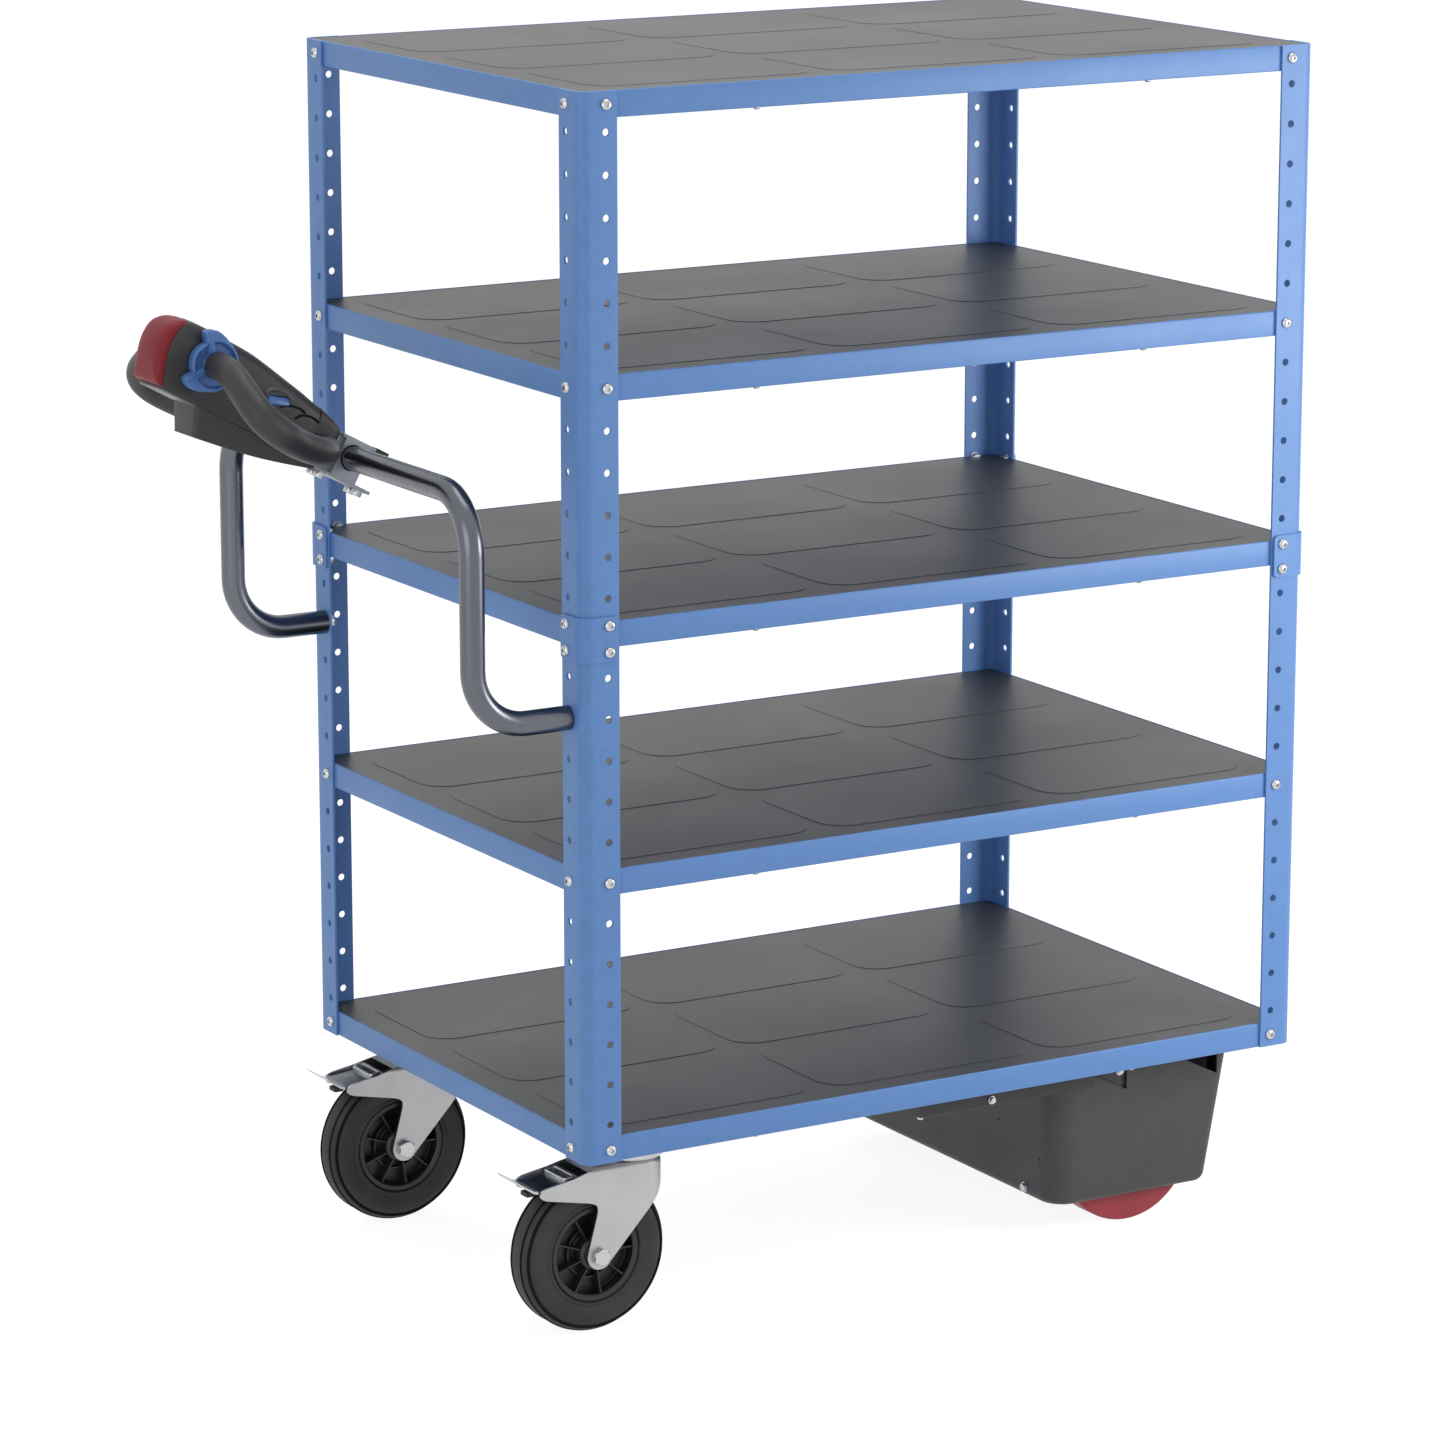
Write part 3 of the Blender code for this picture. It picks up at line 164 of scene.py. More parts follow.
BUTTON_TRAVEL = 0.003
BUTTON_LEAN_DEGREES = 22.0
BUTTON_TILT_DEGREES = 17.0
HOOD_RADIUS = 0.0030
GROOVE_RADIUS = 0.0015
CURVE_END_SHARE = 0.4
CLAMP_HALF_WIDTH = 0.018
CLAMP_PLATE = 0.004
CLAMP_BLOCK = 0.0185
CLAMP_TAIL = 0.042
CLAMP_UPPER_FACE = 0.019
CLAMP_FLOOR = -0.0275
CLAMP_LIP = 0.024
CLAMP_TONGUE = 0.100
CLAMP_SPLIT = 0.0005
CLAMP_NUT_PLACES = (-0.0290, 0.0280)
CLAMP_NUT_SIDE = 0.0097
END_CAP_SHEET = 0.0010
END_CAP_ROOF = 0.0012
END_CAP_CORNER = 0.002
END_CAP_LENGTH = 0.017

# Castors
KINGPIN_INSET = 0.117
KINGPIN_SIDE = 0.098
CASTOR_TRAIL = 0.061
WHEEL_RADIUS = 0.100
WHEEL_SIDES = 128
TYRE_WIDTH = 0.050
RIM_RADIUS = 0.0605
RIM_WALL = 0.0075
RIM_WIDTH = 0.044
HUB_RADIUS = 0.020
HUB_WIDTH = 0.058
WEB_THICKNESS = 0.008
RIB_COUNT = 9
AXLE_RADIUS = 0.006
FORK_SHEET = 0.003
FORK_INSIDE = 0.060
FORK_NOSE = 0.082
FORK_BACK = 0.100
FORK_CHIN = 0.017
FORK_CROWN = 0.114
CROWN_SHEET = 0.005
CROWN_BEND = 0.010
TOP_PLATE_LENGTH = 0.135
TOP_PLATE_WIDTH = 0.110
TOP_PLATE_SHEET = 0.005
TOP_PLATE_CORNER = 0.012
TOP_PLATE_BOLT_INSET = 0.014
RACE_RADIUS = 0.043
RACE_NECK_RADIUS = 0.034
PEDAL_SHEET = 0.003
PEDAL_PIVOT = 0.022
PEDAL_HEIGHT = 0.102
PEDAL_SLOPE = 0.008
PEDAL_LIP_LENGTH = 0.026
PEDAL_LIP_RISE = 0.014
PEDAL_WINDOW_LENGTH = 0.010
PEDAL_WINDOW_WIDTH = 0.044
WINDOW_CORNER = 0.002
WINDOW_SHARE = 0.27
FRAME_BAR = 0.0040
FRAME_HIGH = 0.0055
FRAME_ROUND = 0.0008
FRAME_SUNK = 0.0005

# Drive unit
DRIVE_X = LENGTH - 0.180
DRIVE_PLATE_SHEET = 0.004
DRIVE_SIDE = 0.126
DRIVE_WHEEL_RADIUS = 0.100
DRIVE_TYRE_WIDTH = 0.040
DRIVE_TYRE_DEPTH = 0.036
DRIVE_TYRE_EDGE = 0.004
DRIVE_HUB_BOSS = 0.028
DRIVE_HUB_WEB = 0.014
DRIVE_SHAFT_RADIUS = 0.010
HUB_SIDES = 96
MOTOR_GAP = 0.004
CASING_FRONT = 0.135
CASING_BACK = 0.107
CASING_DRAFT = 0.037
CASING_SIDE = 0.080
CASING_BOTTOM = 0.042
CASING_TOP = BOTTOM - DRIVE_PLATE_SHEET - FIT
CASING_CORNER = 0.036
CASING_BACK_CORNER = 0.016
CASING_EDGE = 0.012
CASING_WALL = 0.003
CASING_SCREW_SIDE = 0.147
WHEEL_SLOT_GAP = 0.004
NOTCH_LENGTH = 0.070
NOTCH_HEIGHT = 0.035
NOTCH_TOP = 0.222
NOTCH_FRONT = 0.023
NOTCH_BACK = 0.136
NOTCH_BOLT_BACK = 0.010
NOTCH_BOLT_DROP = 0.009
NOTCH_BOLT_DEEP = 0.002
LINING_NEAR_FACE = 0.002
LINING_FAR_FACE = 0.004
CASING_DOTS = ((0.2092, 0.1304), (0.1146, 0.1005))
DOT_RADIUS = 0.0016
ARM_WIDTH = 0.026
ARM_HEIGHT = 0.024
ARM_SIDE = 0.028
ARM_BOLT = (0.603, 0.224)
ARM_END_BOLT = 0.008
SMALL_BOLT = 0.454

# Button heads: radius and height. Hexagon heads: corner radius, height and washer radius.
POST_SCREW = (0.007, 0.0044)
SHELF_SCREW = (0.0045, 0.003)
POST_NUT = (0.0075, 0.0065, 0.0085)
HANDLE_BOLT_HEAD = (0.0085, 0.0065, 0.011)
CLAMP_NUT = (0.0078, 0.0070, 0.0)
AXLE_HEAD = (0.0118, 0.0075, 0.0)
PLATE_BOLT_HEAD = (0.0075, 0.0056, 0.0090)
CASING_SCREW_HEAD = (0.0055, 0.0032, 0.0066)
NOTCH_BOLT_HEAD = (0.0048, 0.0030, 0.0060)
ARM_BOLT_HEAD = (0.0042, 0.0040, 0.0054)
SCREW_SIDES = 24
# A button head's side: shares of its radius and of its height
BUTTON_SHARES = ((1.0, 0.0), (1.0, 0.16), (0.95, 0.44), (0.82, 0.72), (0.64, 0.91), (0.50, 0.98))
SOCKET_SHARE = 0.41
SOCKET_DEPTH_SHARE = 0.6


# Shapes

def both(y):
    """A place on the near side and its mirror image on the far side."""
    return y, WIDTH - y


def angles(count):
    """The angles of a full turn in equal steps."""
    return [2 * math.pi * i / count for i in range(count)]


def arc(centre, radius, start, end, steps):
    """Points of an arc in a plane, angles in degrees."""
    points = []
    for i in range(steps + 1):
        angle = math.radians(start + (end - start) * i / steps)
        points.append((centre[0] + radius * math.cos(angle), centre[1] + radius * math.sin(angle)))
    return points


def rectangle(x0, x1, y0, y1):
    return [(x0, y0), (x1, y0), (x1, y1), (x0, y1)]


def rounded_rectangle(x0, x1, y0, y1, radii, steps=6):
    """Counter-clockwise from the corner (x1, y0); radii is one radius or one for each corner."""
    if not isinstance(radii, tuple):
        radii = (radii,) * 4
    a, b, c, d = radii
    return (arc((x1 - a, y0 + a), a, -90, 0, steps) + arc((x1 - b, y1 - b), b, 0, 90, steps)
            + arc((x0 + c, y1 - c), c, 90, 180, steps) + arc((x0 + d, y0 + d), d, 180, 270, steps))


def rounded_block(middle, half_length, half_width, radius, steps=6):
    """A rounded rectangle round its middle."""
    x, y = middle
    return rounded_rectangle(x - half_length, x + half_length, y - half_width, y + half_width, radius, steps)


def upright(outline, *heights):
    """Copies of an outline at heights."""
    return [[(x, y, z) for x, y in outline] for z in heights]


def across(outline, *places):
    """Copies of an outline in X and Z at places along Y."""
    return [[(x, y, z) for x, z in outline] for y in places]


def circle(centre, radius, sides, axis="Z"):
    points = []
    for angle in angles(sides):
        a = radius * math.cos(angle)
        b = radius * math.sin(angle)
        step = {"X": (0, a, b), "Y": (a, 0, b), "Z": (a, b, 0)}[axis]
        points.append(tuple(centre[k] + step[k] for k in range(3)))
    return points


def turned(centre, profile):
    """A wheel's rings round an axis along Y; the profile is (radius, y)."""
    x, y, z = centre
    return [[(x + r * math.cos(angle), y + w, z + r * math.sin(angle)) for r, w in profile]
            for angle in angles(WHEEL_SIDES)]


def bridge(bm, rows):
    """Faces between rows of vertices, each a closed ring."""
    for first, second in zip(rows, rows[1:]):
        for i in range(len(first)):
            j = (i + 1) % len(first)
            bm.faces.new((first[i], first[j], second[j], second[i]))


def skin(bm, rings, closed=False, matrix=None):
    """Add a solid skinned over rings of as many points; its ends are capped or joined."""
    if matrix is not None:
        rings = [[matrix @ Vector(point) for point in ring] for ring in rings]
    rows = [[bm.verts.new(point) for point in ring] for ring in rings]
    if closed:
        bridge(bm, rows + rows[:1])
    else:
        bridge(bm, rows)
        bm.faces.new(rows[0])
        bm.faces.new(rows[-1])
    return bm


def solid(rings, closed=False):
    return skin(bmesh.new(), rings, closed)


def group(ring_groups):
    bm = bmesh.new()
    for rings in ring_groups:
        skin(bm, rings)
    return bm


def swept(path, radii, sides):
    """Rings of a round bar along a path, without twist."""
    points = [Vector(point) for point in path]
    side = None
    rings = []
    for i, (point, radius) in enumerate(zip(points, radii)):
        before = next((point - p for p in reversed(points[:i]) if (point - p).length > FIT), Vector())
        after = next((p - point for p in points[i + 1:] if (p - point).length > FIT), Vector())
        tangent = (before.normalized() + after.normalized()).normalized()
        if side is None:
            side = tangent.orthogonal()
        side = (side - tangent * side.dot(tangent)).normalized()
        other = tangent.cross(side)
        rings.append([tuple(point + radius * (side * math.cos(angle) + other * math.sin(angle)))
                      for angle in angles(sides)])
    return rings


def bent_path(corners, radius, steps):
    """A path through corners, each inner one rounded to the bend radius."""
    corners = [Vector(corner) for corner in corners]
    path = [corners[0]]
    for before, corner, after in zip(corners, corners[1:], corners[2:]):
        inward = (before - corner).normalized()
        outward = (after - corner).normalized()
        centre = corner + (inward + outward) * radius
        for i in range(steps + 1):
            angle = math.pi / 2 * i / steps
            path.append(centre - outward * radius * math.cos(angle) - inward * radius * math.sin(angle))
    return path + [corners[-1]]


def smooth_path(points, steps):
    """A smooth curve through points of any dimension, with steps stretches between each two."""
    points = [Vector(point) for point in points]
    path = []
    for i in range(len(points) - 1):
        before = points[max(i - 1, 0)]
        start, end = points[i:i + 2]
        after = points[min(i + 2, len(points) - 1)]
        for k in range(steps):
            t = k / steps
            path.append(
                (start * 2 + (end - before) * t
                 + (before * 2 - start * 5 + end * 4 - after) * t * t
                 + (start * 3 - before - end * 3 + after) * t * t * t) / 2
            )
    return path + [points[-1]]


def soften(points, radius, steps=4):
    """Round a closed outline's real corners; points of curves stay."""
    result = []
    count = len(points)
    for i, point in enumerate(points):
        here = Vector(point)
        before = Vector(points[i - 1]) - here
        after = Vector(points[(i + 1) % count]) - here
        if before.angle(-after) < math.radians(CURVE_DEGREES):
            result.append(tuple(here))
            continue
        start = here + before.normalized() * min(radius, before.length * CORNER_SHARE)
        end = here + after.normalized() * min(radius, after.length * CORNER_SHARE)
        for k in range(steps + 1):
            t = k / steps
            result.append(tuple(start * (1 - t) ** 2 + here * 2 * t * (1 - t) + end * t ** 2))
    return result


def facing(spot, axis):
    """A matrix that puts a shape drawn along +Z at a spot, along an axis."""
    return Matrix.Translation(spot) @ Vector(axis).to_track_quat("Z", "Y").to_matrix().to_4x4()


def to_object(name, bm):
    """Put a bmesh into the scene as an object."""
    mesh = bpy.data.meshes.new(name)
    bm.to_mesh(mesh)
    bm.free()
    obj = bpy.data.objects.new(name, mesh)
    bpy.context.scene.collection.objects.link(obj)
    return obj


def carve(bm, tool, operation="DIFFERENCE"):
    """The Boolean of two bmeshes, as a new bmesh."""
    for source in (bm, tool):
        bmesh.ops.recalc_face_normals(source, faces=source.faces)
    carved = to_object("carved", bm)
    cutter = to_object("tool", tool)
    modifier = carved.modifiers.new("cut", "BOOLEAN")
    modifier.operation = operation
    modifier.solver = "EXACT"
    modifier.object = cutter
    bpy.context.view_layer.update()
    result = bmesh.new()
    result.from_object(carved, bpy.context.evaluated_depsgraph_get())
    for obj in (carved, cutter):
        mesh = obj.data
        bpy.data.objects.remove(obj, do_unlink=True)
        bpy.data.meshes.remove(mesh)
    return result


def make(name, bm, look, body="root", node=None, bevel=0.0, sharp=32.0):
    """Turn a bmesh into a finished piece that rides on a body and may stand for a CAD node."""
    slot, material = look
    bmesh.ops.recalc_face_normals(bm, faces=bm.faces)
    bmesh.ops.translate(bm, vec=(CORNER.x, CORNER.y, 0), verts=bm.verts)
    obj = to_object(name, bm)
    mesh = obj.data
    mesh.shade_smooth()
    mesh.materials.append(material)
    if bevel:
        modifier = obj.modifiers.new("edge", "BEVEL")
        modifier.width = bevel
        modifier.segments = 2
        modifier.limit_method = "ANGLE"
        modifier.angle_limit = math.radians(sharp)
        modifier.harden_normals = True
    else:
        mesh.set_sharp_from_angle(angle=math.radians(sharp))
    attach(obj, body)
    if node:
        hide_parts(node)


# Materials

def add_node(tree, kind, inputs, **settings):
    """A shader node with its settings made and its inputs set or linked; None leaves one free."""
    node = tree.nodes.new(f"ShaderNode{kind}")
    for label, value in settings.items():
        setattr(node, label, value)
    for label, value in inputs.items():
        if isinstance(value, bpy.types.NodeSocket):
            tree.links.new(value, node.inputs[label])
        elif value is not None:
            node.inputs[label].default_value = value
    return node


def shade(colour, gain, lift=0.0):
    return tuple(c * gain + lift for c in colour)


class Surface:
    """A node material built up step by step on a piece's own coordinates."""

    def __init__(self, slot, name, colour, roughness, metallic=0.0, specular=0.5):
        self.slot = slot
        self.material = bpy.data.materials.new(name)
        self.material.use_nodes = True
        self.tree = self.material.node_tree
        self.shader = self.tree.nodes["Principled BSDF"]
        self.shader.inputs["Metallic"].default_value = metallic
        self.shader.inputs["Specular IOR Level"].default_value = specular
        self.roughness = roughness
        self.colour = colour
        self.coords = self.add("TexCoord", "Object", {})
        self.normal = None

    def add(self, kind, output, inputs, **settings):
        return add_node(self.tree, kind, inputs, **settings).outputs[output]

    def noise(self, scale, detail=3.0, stretch=(1, 1, 1)):
        vector = self.add("Mapping", "Vector", {"Scale": stretch, "Vector": self.coords})
        return self.add("TexNoise", "Fac", {"Scale": scale, "Detail": detail, "Vector": vector})

    def cells(self, scale):
        return self.add("TexVoronoi", "Distance", {"Scale": scale, "Vector": self.coords})

    def spread(self, value, low, high, out_low, out_high):
        return self.add("MapRange", "Result", {"Value": value, "From Min": low, "From Max": high,
                                               "To Min": out_low, "To Max": out_high})

    def paint(self, factor, colour):
        """Mix a colour over what is there by a factor."""
        self.colour = self.add("Mix", "Result", {"Factor": factor, "A": self.colour, "B": (*colour, 1.0)},
                               data_type="RGBA")

    def mottle(self, scale, share, detail=4.0):
        """Lighter and darker clouds round the base colour, by a share of it. This comes first."""
        factor = self.spread(self.noise(scale, detail), 0.35, 0.65, 0.0, 1.0)
        light = shade(self.colour, 1 + share)
        self.colour = (*shade(self.colour, 1 - share), 1.0)
        self.paint(factor, light)

    def edges(self, colour, strength):
        """Lighter colour on convex edges, found by pointiness and broken up by noise."""
        edge = self.spread(self.add("NewGeometry", "Pointiness", {}), 0.52, 0.60, 0.0, strength)
        broken = self.spread(self.noise(45, 5.0), 0.40, 0.62, 0.1, 1.0)
        self.paint(self.add("Math", "Value", {0: edge, 1: broken}, operation="MULTIPLY"), colour)

    def specks(self, scale, colour, strength, low=0.66, high=0.74):
        self.paint(self.spread(self.noise(scale, 2.0), low, high, 0.0, strength), colour)

    def dull(self, scale, spread, stretch=(1, 1, 1)):
        """Roughness that wanders round its middle value."""
        value = self.spread(self.noise(scale, 4.0, stretch), 0.3, 0.7, self.roughness - spread,
                            self.roughness + spread)
        self.tree.links.new(value, self.shader.inputs["Roughness"])

    def bump(self, height, depth):
        self.normal = self.add("Bump", "Normal", {"Distance": depth, "Height": height, "Normal": self.normal})

    def done(self):
        """The look: the record's slot and the material."""
        self.tree.links.new(self.colour, self.shader.inputs["Base Color"])
        self.tree.links.new(self.normal, self.shader.inputs["Normal"])
        return self.slot, self.material


def powder_coat(slot, name, colour):
    """Semi-gloss powder coat with a fine orange peel."""
    s = Surface(slot, name, colour, 0.46)
    s.mottle(1.6, 0.018)
    s.specks(700, shade(colour, 1.18), 0.25)
    s.edges(shade(colour, 1.35, 0.03), 0.35)
    s.dull(9, 0.03)
    s.bump(s.noise(520, 2.0), 0.00007)
    s.bump(s.noise(60, 2.0), 0.00012)
    return s.done()


def deck_sheet():
    """Satin dark grey sheet with a fine grain, faint scuffs and settled dust."""
    s = Surface("deck_grey", "deck_sheet", (0.037, 0.037, 0.037), 0.43, specular=0.54)
    s.mottle(1.5, 0.03)
    s.specks(900, (0.085, 0.085, 0.085), 0.30)
    s.paint(s.spread(s.noise(30, 6.0, (1, 9, 1)), 0.66, 0.84, 0.0, 0.12), (0.10, 0.10, 0.10))
    s.edges((0.09, 0.09, 0.09), 0.3)
    s.dull(4, 0.025)
    s.bump(s.cells(1500), 0.00003)
    s.bump(s.noise(90, 3.0), 0.00005)
    return s.done()


def plastic(slot, name, colour, roughness, grain=0.00004, scale=1500, specular=0.5):
    """Moulded plastic with a spark-eroded grain."""
    s = Surface(slot, name, colour, roughness, specular=specular)
    s.mottle(6.0, 0.03)
    s.specks(scale / 2, shade(colour, 1.2, 0.002), 0.3)
    s.edges(shade(colour, 1.6, 0.01), 0.4)
    s.dull(16, 0.04)
    s.bump(s.noise(scale, 2.0), grain)
    return s.done()


def rubber(slot, name, colour, roughness=0.62):
    """Rubber with a matt bloom and grains of dust."""
    s = Surface(slot, name, colour, roughness)
    s.mottle(12.0, 0.15)
    s.specks(260, shade(colour, 3, 0.02), 0.25)
    s.dull(18, 0.08)
    s.bump(s.noise(900, 4.0), 0.00005)
    return s.done()


def plated_steel(slot, name, colour, roughness, grain_stretch=(1, 1, 8)):
    """Zinc plate: bright, slightly cloudy, with the sheet's grain below it."""
    s = Surface(slot, name, colour, roughness, 1.0)
    s.mottle(18.0, 0.035, 5.0)
    s.specks(260, shade(colour, 0.90), 0.20, 0.60, 0.72)
    s.paint(s.spread(s.noise(9.0), 0.50, 0.75, 0.0, 0.20), (colour[0], colour[1] * 0.985, colour[2] * 0.94))
    s.dull(60, 0.04, grain_stretch)
    s.bump(s.noise(420, 2.0, grain_stretch), 0.000003)
    return s.done()


def tube_steel():
    """Polished dark tube with a bluish cast and long draw lines."""
    s = Surface("tube_steel", "tube_steel", (0.140, 0.146, 0.168), 0.26, 1.0)
    s.mottle(5.0, 0.05)
    s.dull(30, 0.03)
    s.bump(s.noise(260, 2.0, (1, 1, 0.10)), 0.000004)
    return s.done()


BLUE = powder_coat("blue_paint", "blue_powder_coat", (0.113, 0.257, 0.575))
DECK = deck_sheet()
TUBE = tube_steel()
ZINC = plated_steel("zinc", "zinc_plate", (0.52, 0.53, 0.55), 0.30)
CLAMP_STEEL = plated_steel("zinc", "clamp_steel", (0.25, 0.26, 0.29), 0.36)
BRIGHT = plated_steel("zinc", "bright_steel", (0.55, 0.55, 0.56), 0.20, (1, 1, 1))
FORK_ZINC = plated_steel("zinc", "fork_zinc", (0.465, 0.465, 0.468), 0.40, (1, 1, 9))
PEDAL_STEEL = plated_steel("zinc", "pedal_steel", (0.150, 0.155, 0.172), 0.24)
MOTOR = plated_steel("motor_grey", "motor_cast", (0.22, 0.22, 0.23), 0.48, (1, 1, 1))
DARK_STEEL = powder_coat("dark_steel", "dark_steel", (0.014, 0.014, 0.015))
HEAD_BLACK = plastic("head_black", "head_black", (0.025, 0.025, 0.0255), 0.48)
# A lighter grey copy of the head's black plastic: a painted highlight on the chin plate
CHIN_HIGHLIGHT = plastic("head_black", "chin_painted_highlight", (0.13, 0.13, 0.13), 0.45)
# A lighter grey copy of the head's black plastic: a painted highlight along the hood
HOOD_HIGHLIGHT = plastic("head_black", "hood_painted_highlight", (0.070, 0.070, 0.070), 0.42)
RED_BUTTON = plastic("button_red", "button_red", (0.245, 0.020, 0.028), 0.46, specular=0.20)
CONTROL_BLUE = plastic("control_blue", "control_blue", (0.070, 0.175, 0.45), 0.36)
RIM = plastic("rim_black", "rim_black", (0.012, 0.012, 0.013), 0.40, 0.00002, 700)
CASING = plastic("casing_grey", "casing_grey", (0.048, 0.048, 0.048), 0.52, 0.00006, 1100)
BATTERY = plastic("battery_grey", "battery_grey", (0.08, 0.08, 0.085), 0.5)
GRIP = rubber("grip_black", "soft_grip", (0.026, 0.026, 0.027), 0.50)
TYRE = rubber("rubber", "tyre_rubber", (0.018, 0.018, 0.0185))
TREAD_RED = rubber("tread_red", "tread_red", (0.36, 0.035, 0.048), 0.45)
# A near-black copy of the head's plastic: painted shade in the head's sunk arches, the tyre's grooves and the
# casing's rear pockets
PAINTED_SHADE = plastic("head_black", "painted_shade_black", (0.005, 0.005, 0.005), 0.7, specular=0.1)
TYRE_GROOVE_SHADE = ("rubber", PAINTED_SHADE[1])
CASING_SHADOW = ("casing_grey", PAINTED_SHADE[1])


# Fasteners, drawn along +Z

def round_ring(radius, z):
    return circle((0, 0, z), radius, SCREW_SIDES)


def hexagon_ring(radius, z):
    """Points on a hexagon of that corner radius, spread like a circle's."""
    points = []
    for angle in angles(SCREW_SIDES):
        inner = (angle + math.pi / 6) % (math.pi / 3) - math.pi / 6
        r = radius * math.cos(math.pi / 6) / math.cos(inner)
        points.append((r * math.cos(angle), r * math.sin(angle), z))
    return points


def button_head(radius, height):
    """A button-head screw with a hexagon socket."""
    rings = [round_ring(radius * a, height * b) for a, b in BUTTON_SHARES]
    floor = height * (1 - SOCKET_DEPTH_SHARE)
    return rings + [hexagon_ring(radius * SOCKET_SHARE, z) for z in (height, floor)]


def hex_head(radius, height, washer):
    """A hexagon head with chamfered corners, on a washer if that has a radius."""
    base = height / 4 if washer else 0.0
    rings = [round_ring(washer, 0), round_ring(washer, base)] if washer else []
    return rings + [hexagon_ring(radius, base), hexagon_ring(radius, base + height * 0.85),
                    round_ring(radius * 0.84, base + height)]


def add_fasteners(name, rings, places, look=ZINC):
    """Copies of one screw at (spot, axis) pairs, in one piece."""
    bm = bmesh.new()
    for spot, axis in places:
        skin(bm, rings, matrix=facing(spot, axis))
    make(name, bm, look, sharp=40.0)


# Frame: each corner's x and y and the ways into the shelf, each shelf's middle height

CORNERS = {
    "handle_near": (0, 0, 1, 1),
    "handle_far": (0, WIDTH, 1, -1),
    "drive_near": (LENGTH, 0, -1, 1),
    "drive_far": (LENGTH, WIDTH, -1, -1),
}
SHELVES = {
    "top_shelf": TOP - END_HOLE,
    "second_shelf": JOINT + FIRST_HOLE + 5 * HOLE_PITCH,
    "middle_shelf": JOINT + MIDDLE_SHELF_LIFT,
    "fourth_shelf": BOTTOM + FIRST_HOLE + 6 * HOLE_PITCH,
    "bottom_shelf": BOTTOM + END_HOLE,
}


def flange_places(corner, z, outward):
    """The hole line's points on a post's two flanges at a height, each with its outward axis."""
    x0, y0, dx, dy = CORNERS[corner]
    return [
        ((x0 + dx * HOLE_LINE, y0 - dy * outward, z), (0, -dy, 0)),
        ((x0 - dx * outward, y0 + dy * HOLE_LINE, z), (-dx, 0, 0)),
    ]


def post_outline(corner):
    """An angle section with a rounded bend."""
    x0, y0, dx, dy = CORNERS[corner]
    middle = (POST_BEND, POST_BEND)
    points = ([(POST_LEG, 0)] + arc(middle, POST_BEND, -90, -180, 8)
              + [(0, POST_LEG), (POST_SHEET, POST_LEG)]
              + arc(middle, POST_BEND - POST_SHEET, -180, -90, 8) + [(POST_LEG, POST_SHEET)])
    return [(x0 + dx * p, y0 + dy * q) for p, q in points]


def add_half_post(corner, half, bottom, height):
    post = solid(upright(post_outline(corner), bottom, bottom + height))
    heights = [bottom + FIRST_HOLE + i * HOLE_PITCH for i in range(HOLE_COUNT)]
    heights += [bottom + END_HOLE, bottom + height - END_HOLE]
    holes = bmesh.new()
    drill = [circle((0, 0, depth), HOLE_RADIUS, 20) for depth in (-OVERRUN, OVERRUN)]
    for z in heights:
        for spot, axis in flange_places(corner, z, 0.0):
            skin(holes, drill, matrix=facing(spot, axis))
    name = f"post_{corner}_{half}"
    make(f"{name}_sheet", carve(post, holes), BLUE, node=name, bevel=FINE_EDGE)


def splice_line(corner):
    """The line of a sleeve's outer face, as points each with its inward normal."""
    x0, y0, dx, dy = CORNERS[corner]
    start = -(POST_SHEET + FIT)
    leg = SPLICE_LEG + POST_SHEET
    bend = POST_BEND + POST_SHEET + FIT
    line = [((start + leg, start), (0, 1))]
    line += [((start + bend + bend * a, start + bend + bend * b), (-a, -b))
             for a, b in arc((0, 0), 1, -90, -180, 8)]
    line.append(((start, start + leg), (1, 0)))
    return [(Vector((x0 + dx * p[0], y0 + dy * p[1])), Vector((dx * n[0], dy * n[1]))) for p, n in line]


def add_splice(corner):
    """A sleeve over a post's joint, with its free corners rounded off."""
    line = splice_line(corner)
    stations = []
    for (tip, normal), (inner, _) in ((line[0], line[1]), (line[-1], line[-2])):
        toward = (inner - tip).normalized()
        rounded = []
        for i in range(SPLICE_STEPS + 1):
            angle = math.pi / 2 * i / SPLICE_STEPS
            rounded.append((tip + toward * SPLICE_CORNER * (1 - math.cos(angle)), normal,
                            SPLICE_CORNER * (1 - math.sin(angle))))
        stations.append(rounded)
    rings = []
    for point, normal, drop in stations[0] + [(p, n, 0.0) for p, n in line[1:-1]] + stations[1][::-1]:
        inner = point + normal * POST_SHEET
        low = JOINT - SPLICE_HEIGHT / 2 + drop
        high = JOINT + SPLICE_HEIGHT / 2 - drop
        rings.append([(*point, low), (*point, high), (*inner, high), (*inner, low)])
    make(f"splice_{corner}_sheet", solid(rings), BLUE, node=f"splice_{corner}", bevel=FINE_EDGE)


def shelf_ring(inset, z):
    start = RECESS + inset
    radius = max(POST_BEND - start, PANEL_CORNER / 10)
    return [(x, y, z) for x, y in rounded_rectangle(start, LENGTH - start, start, WIDTH - start, radius)]


def add_tray(name, middle):
    top = middle + LIP_HEIGHT / 2
    bottom = middle - LIP_HEIGHT / 2
    seat = top - DECK_THICKNESS - FIT
    profile = [(TRAY_SHEET, seat), (TRAY_SHEET, top - TRAY_EDGE / 4), (TRAY_EDGE, top)]
    profile += arc((TRAY_EDGE, top - TRAY_EDGE), TRAY_EDGE, 90, 180, 3)
    profile += arc((TRAY_EDGE, bottom + TRAY_EDGE), TRAY_EDGE, 180, 270, 3)
    profile += [(RETURN_WIDTH, bottom), (RETURN_WIDTH, bottom + TRAY_SHEET),
                (TRAY_SHEET, bottom + TRAY_SHEET), (TRAY_SHEET, seat - TRAY_SHEET)]
    make(f"{name}_sheet", solid([shelf_ring(*row) for row in profile]), BLUE, node=f"{name}_tray", sharp=40.0)


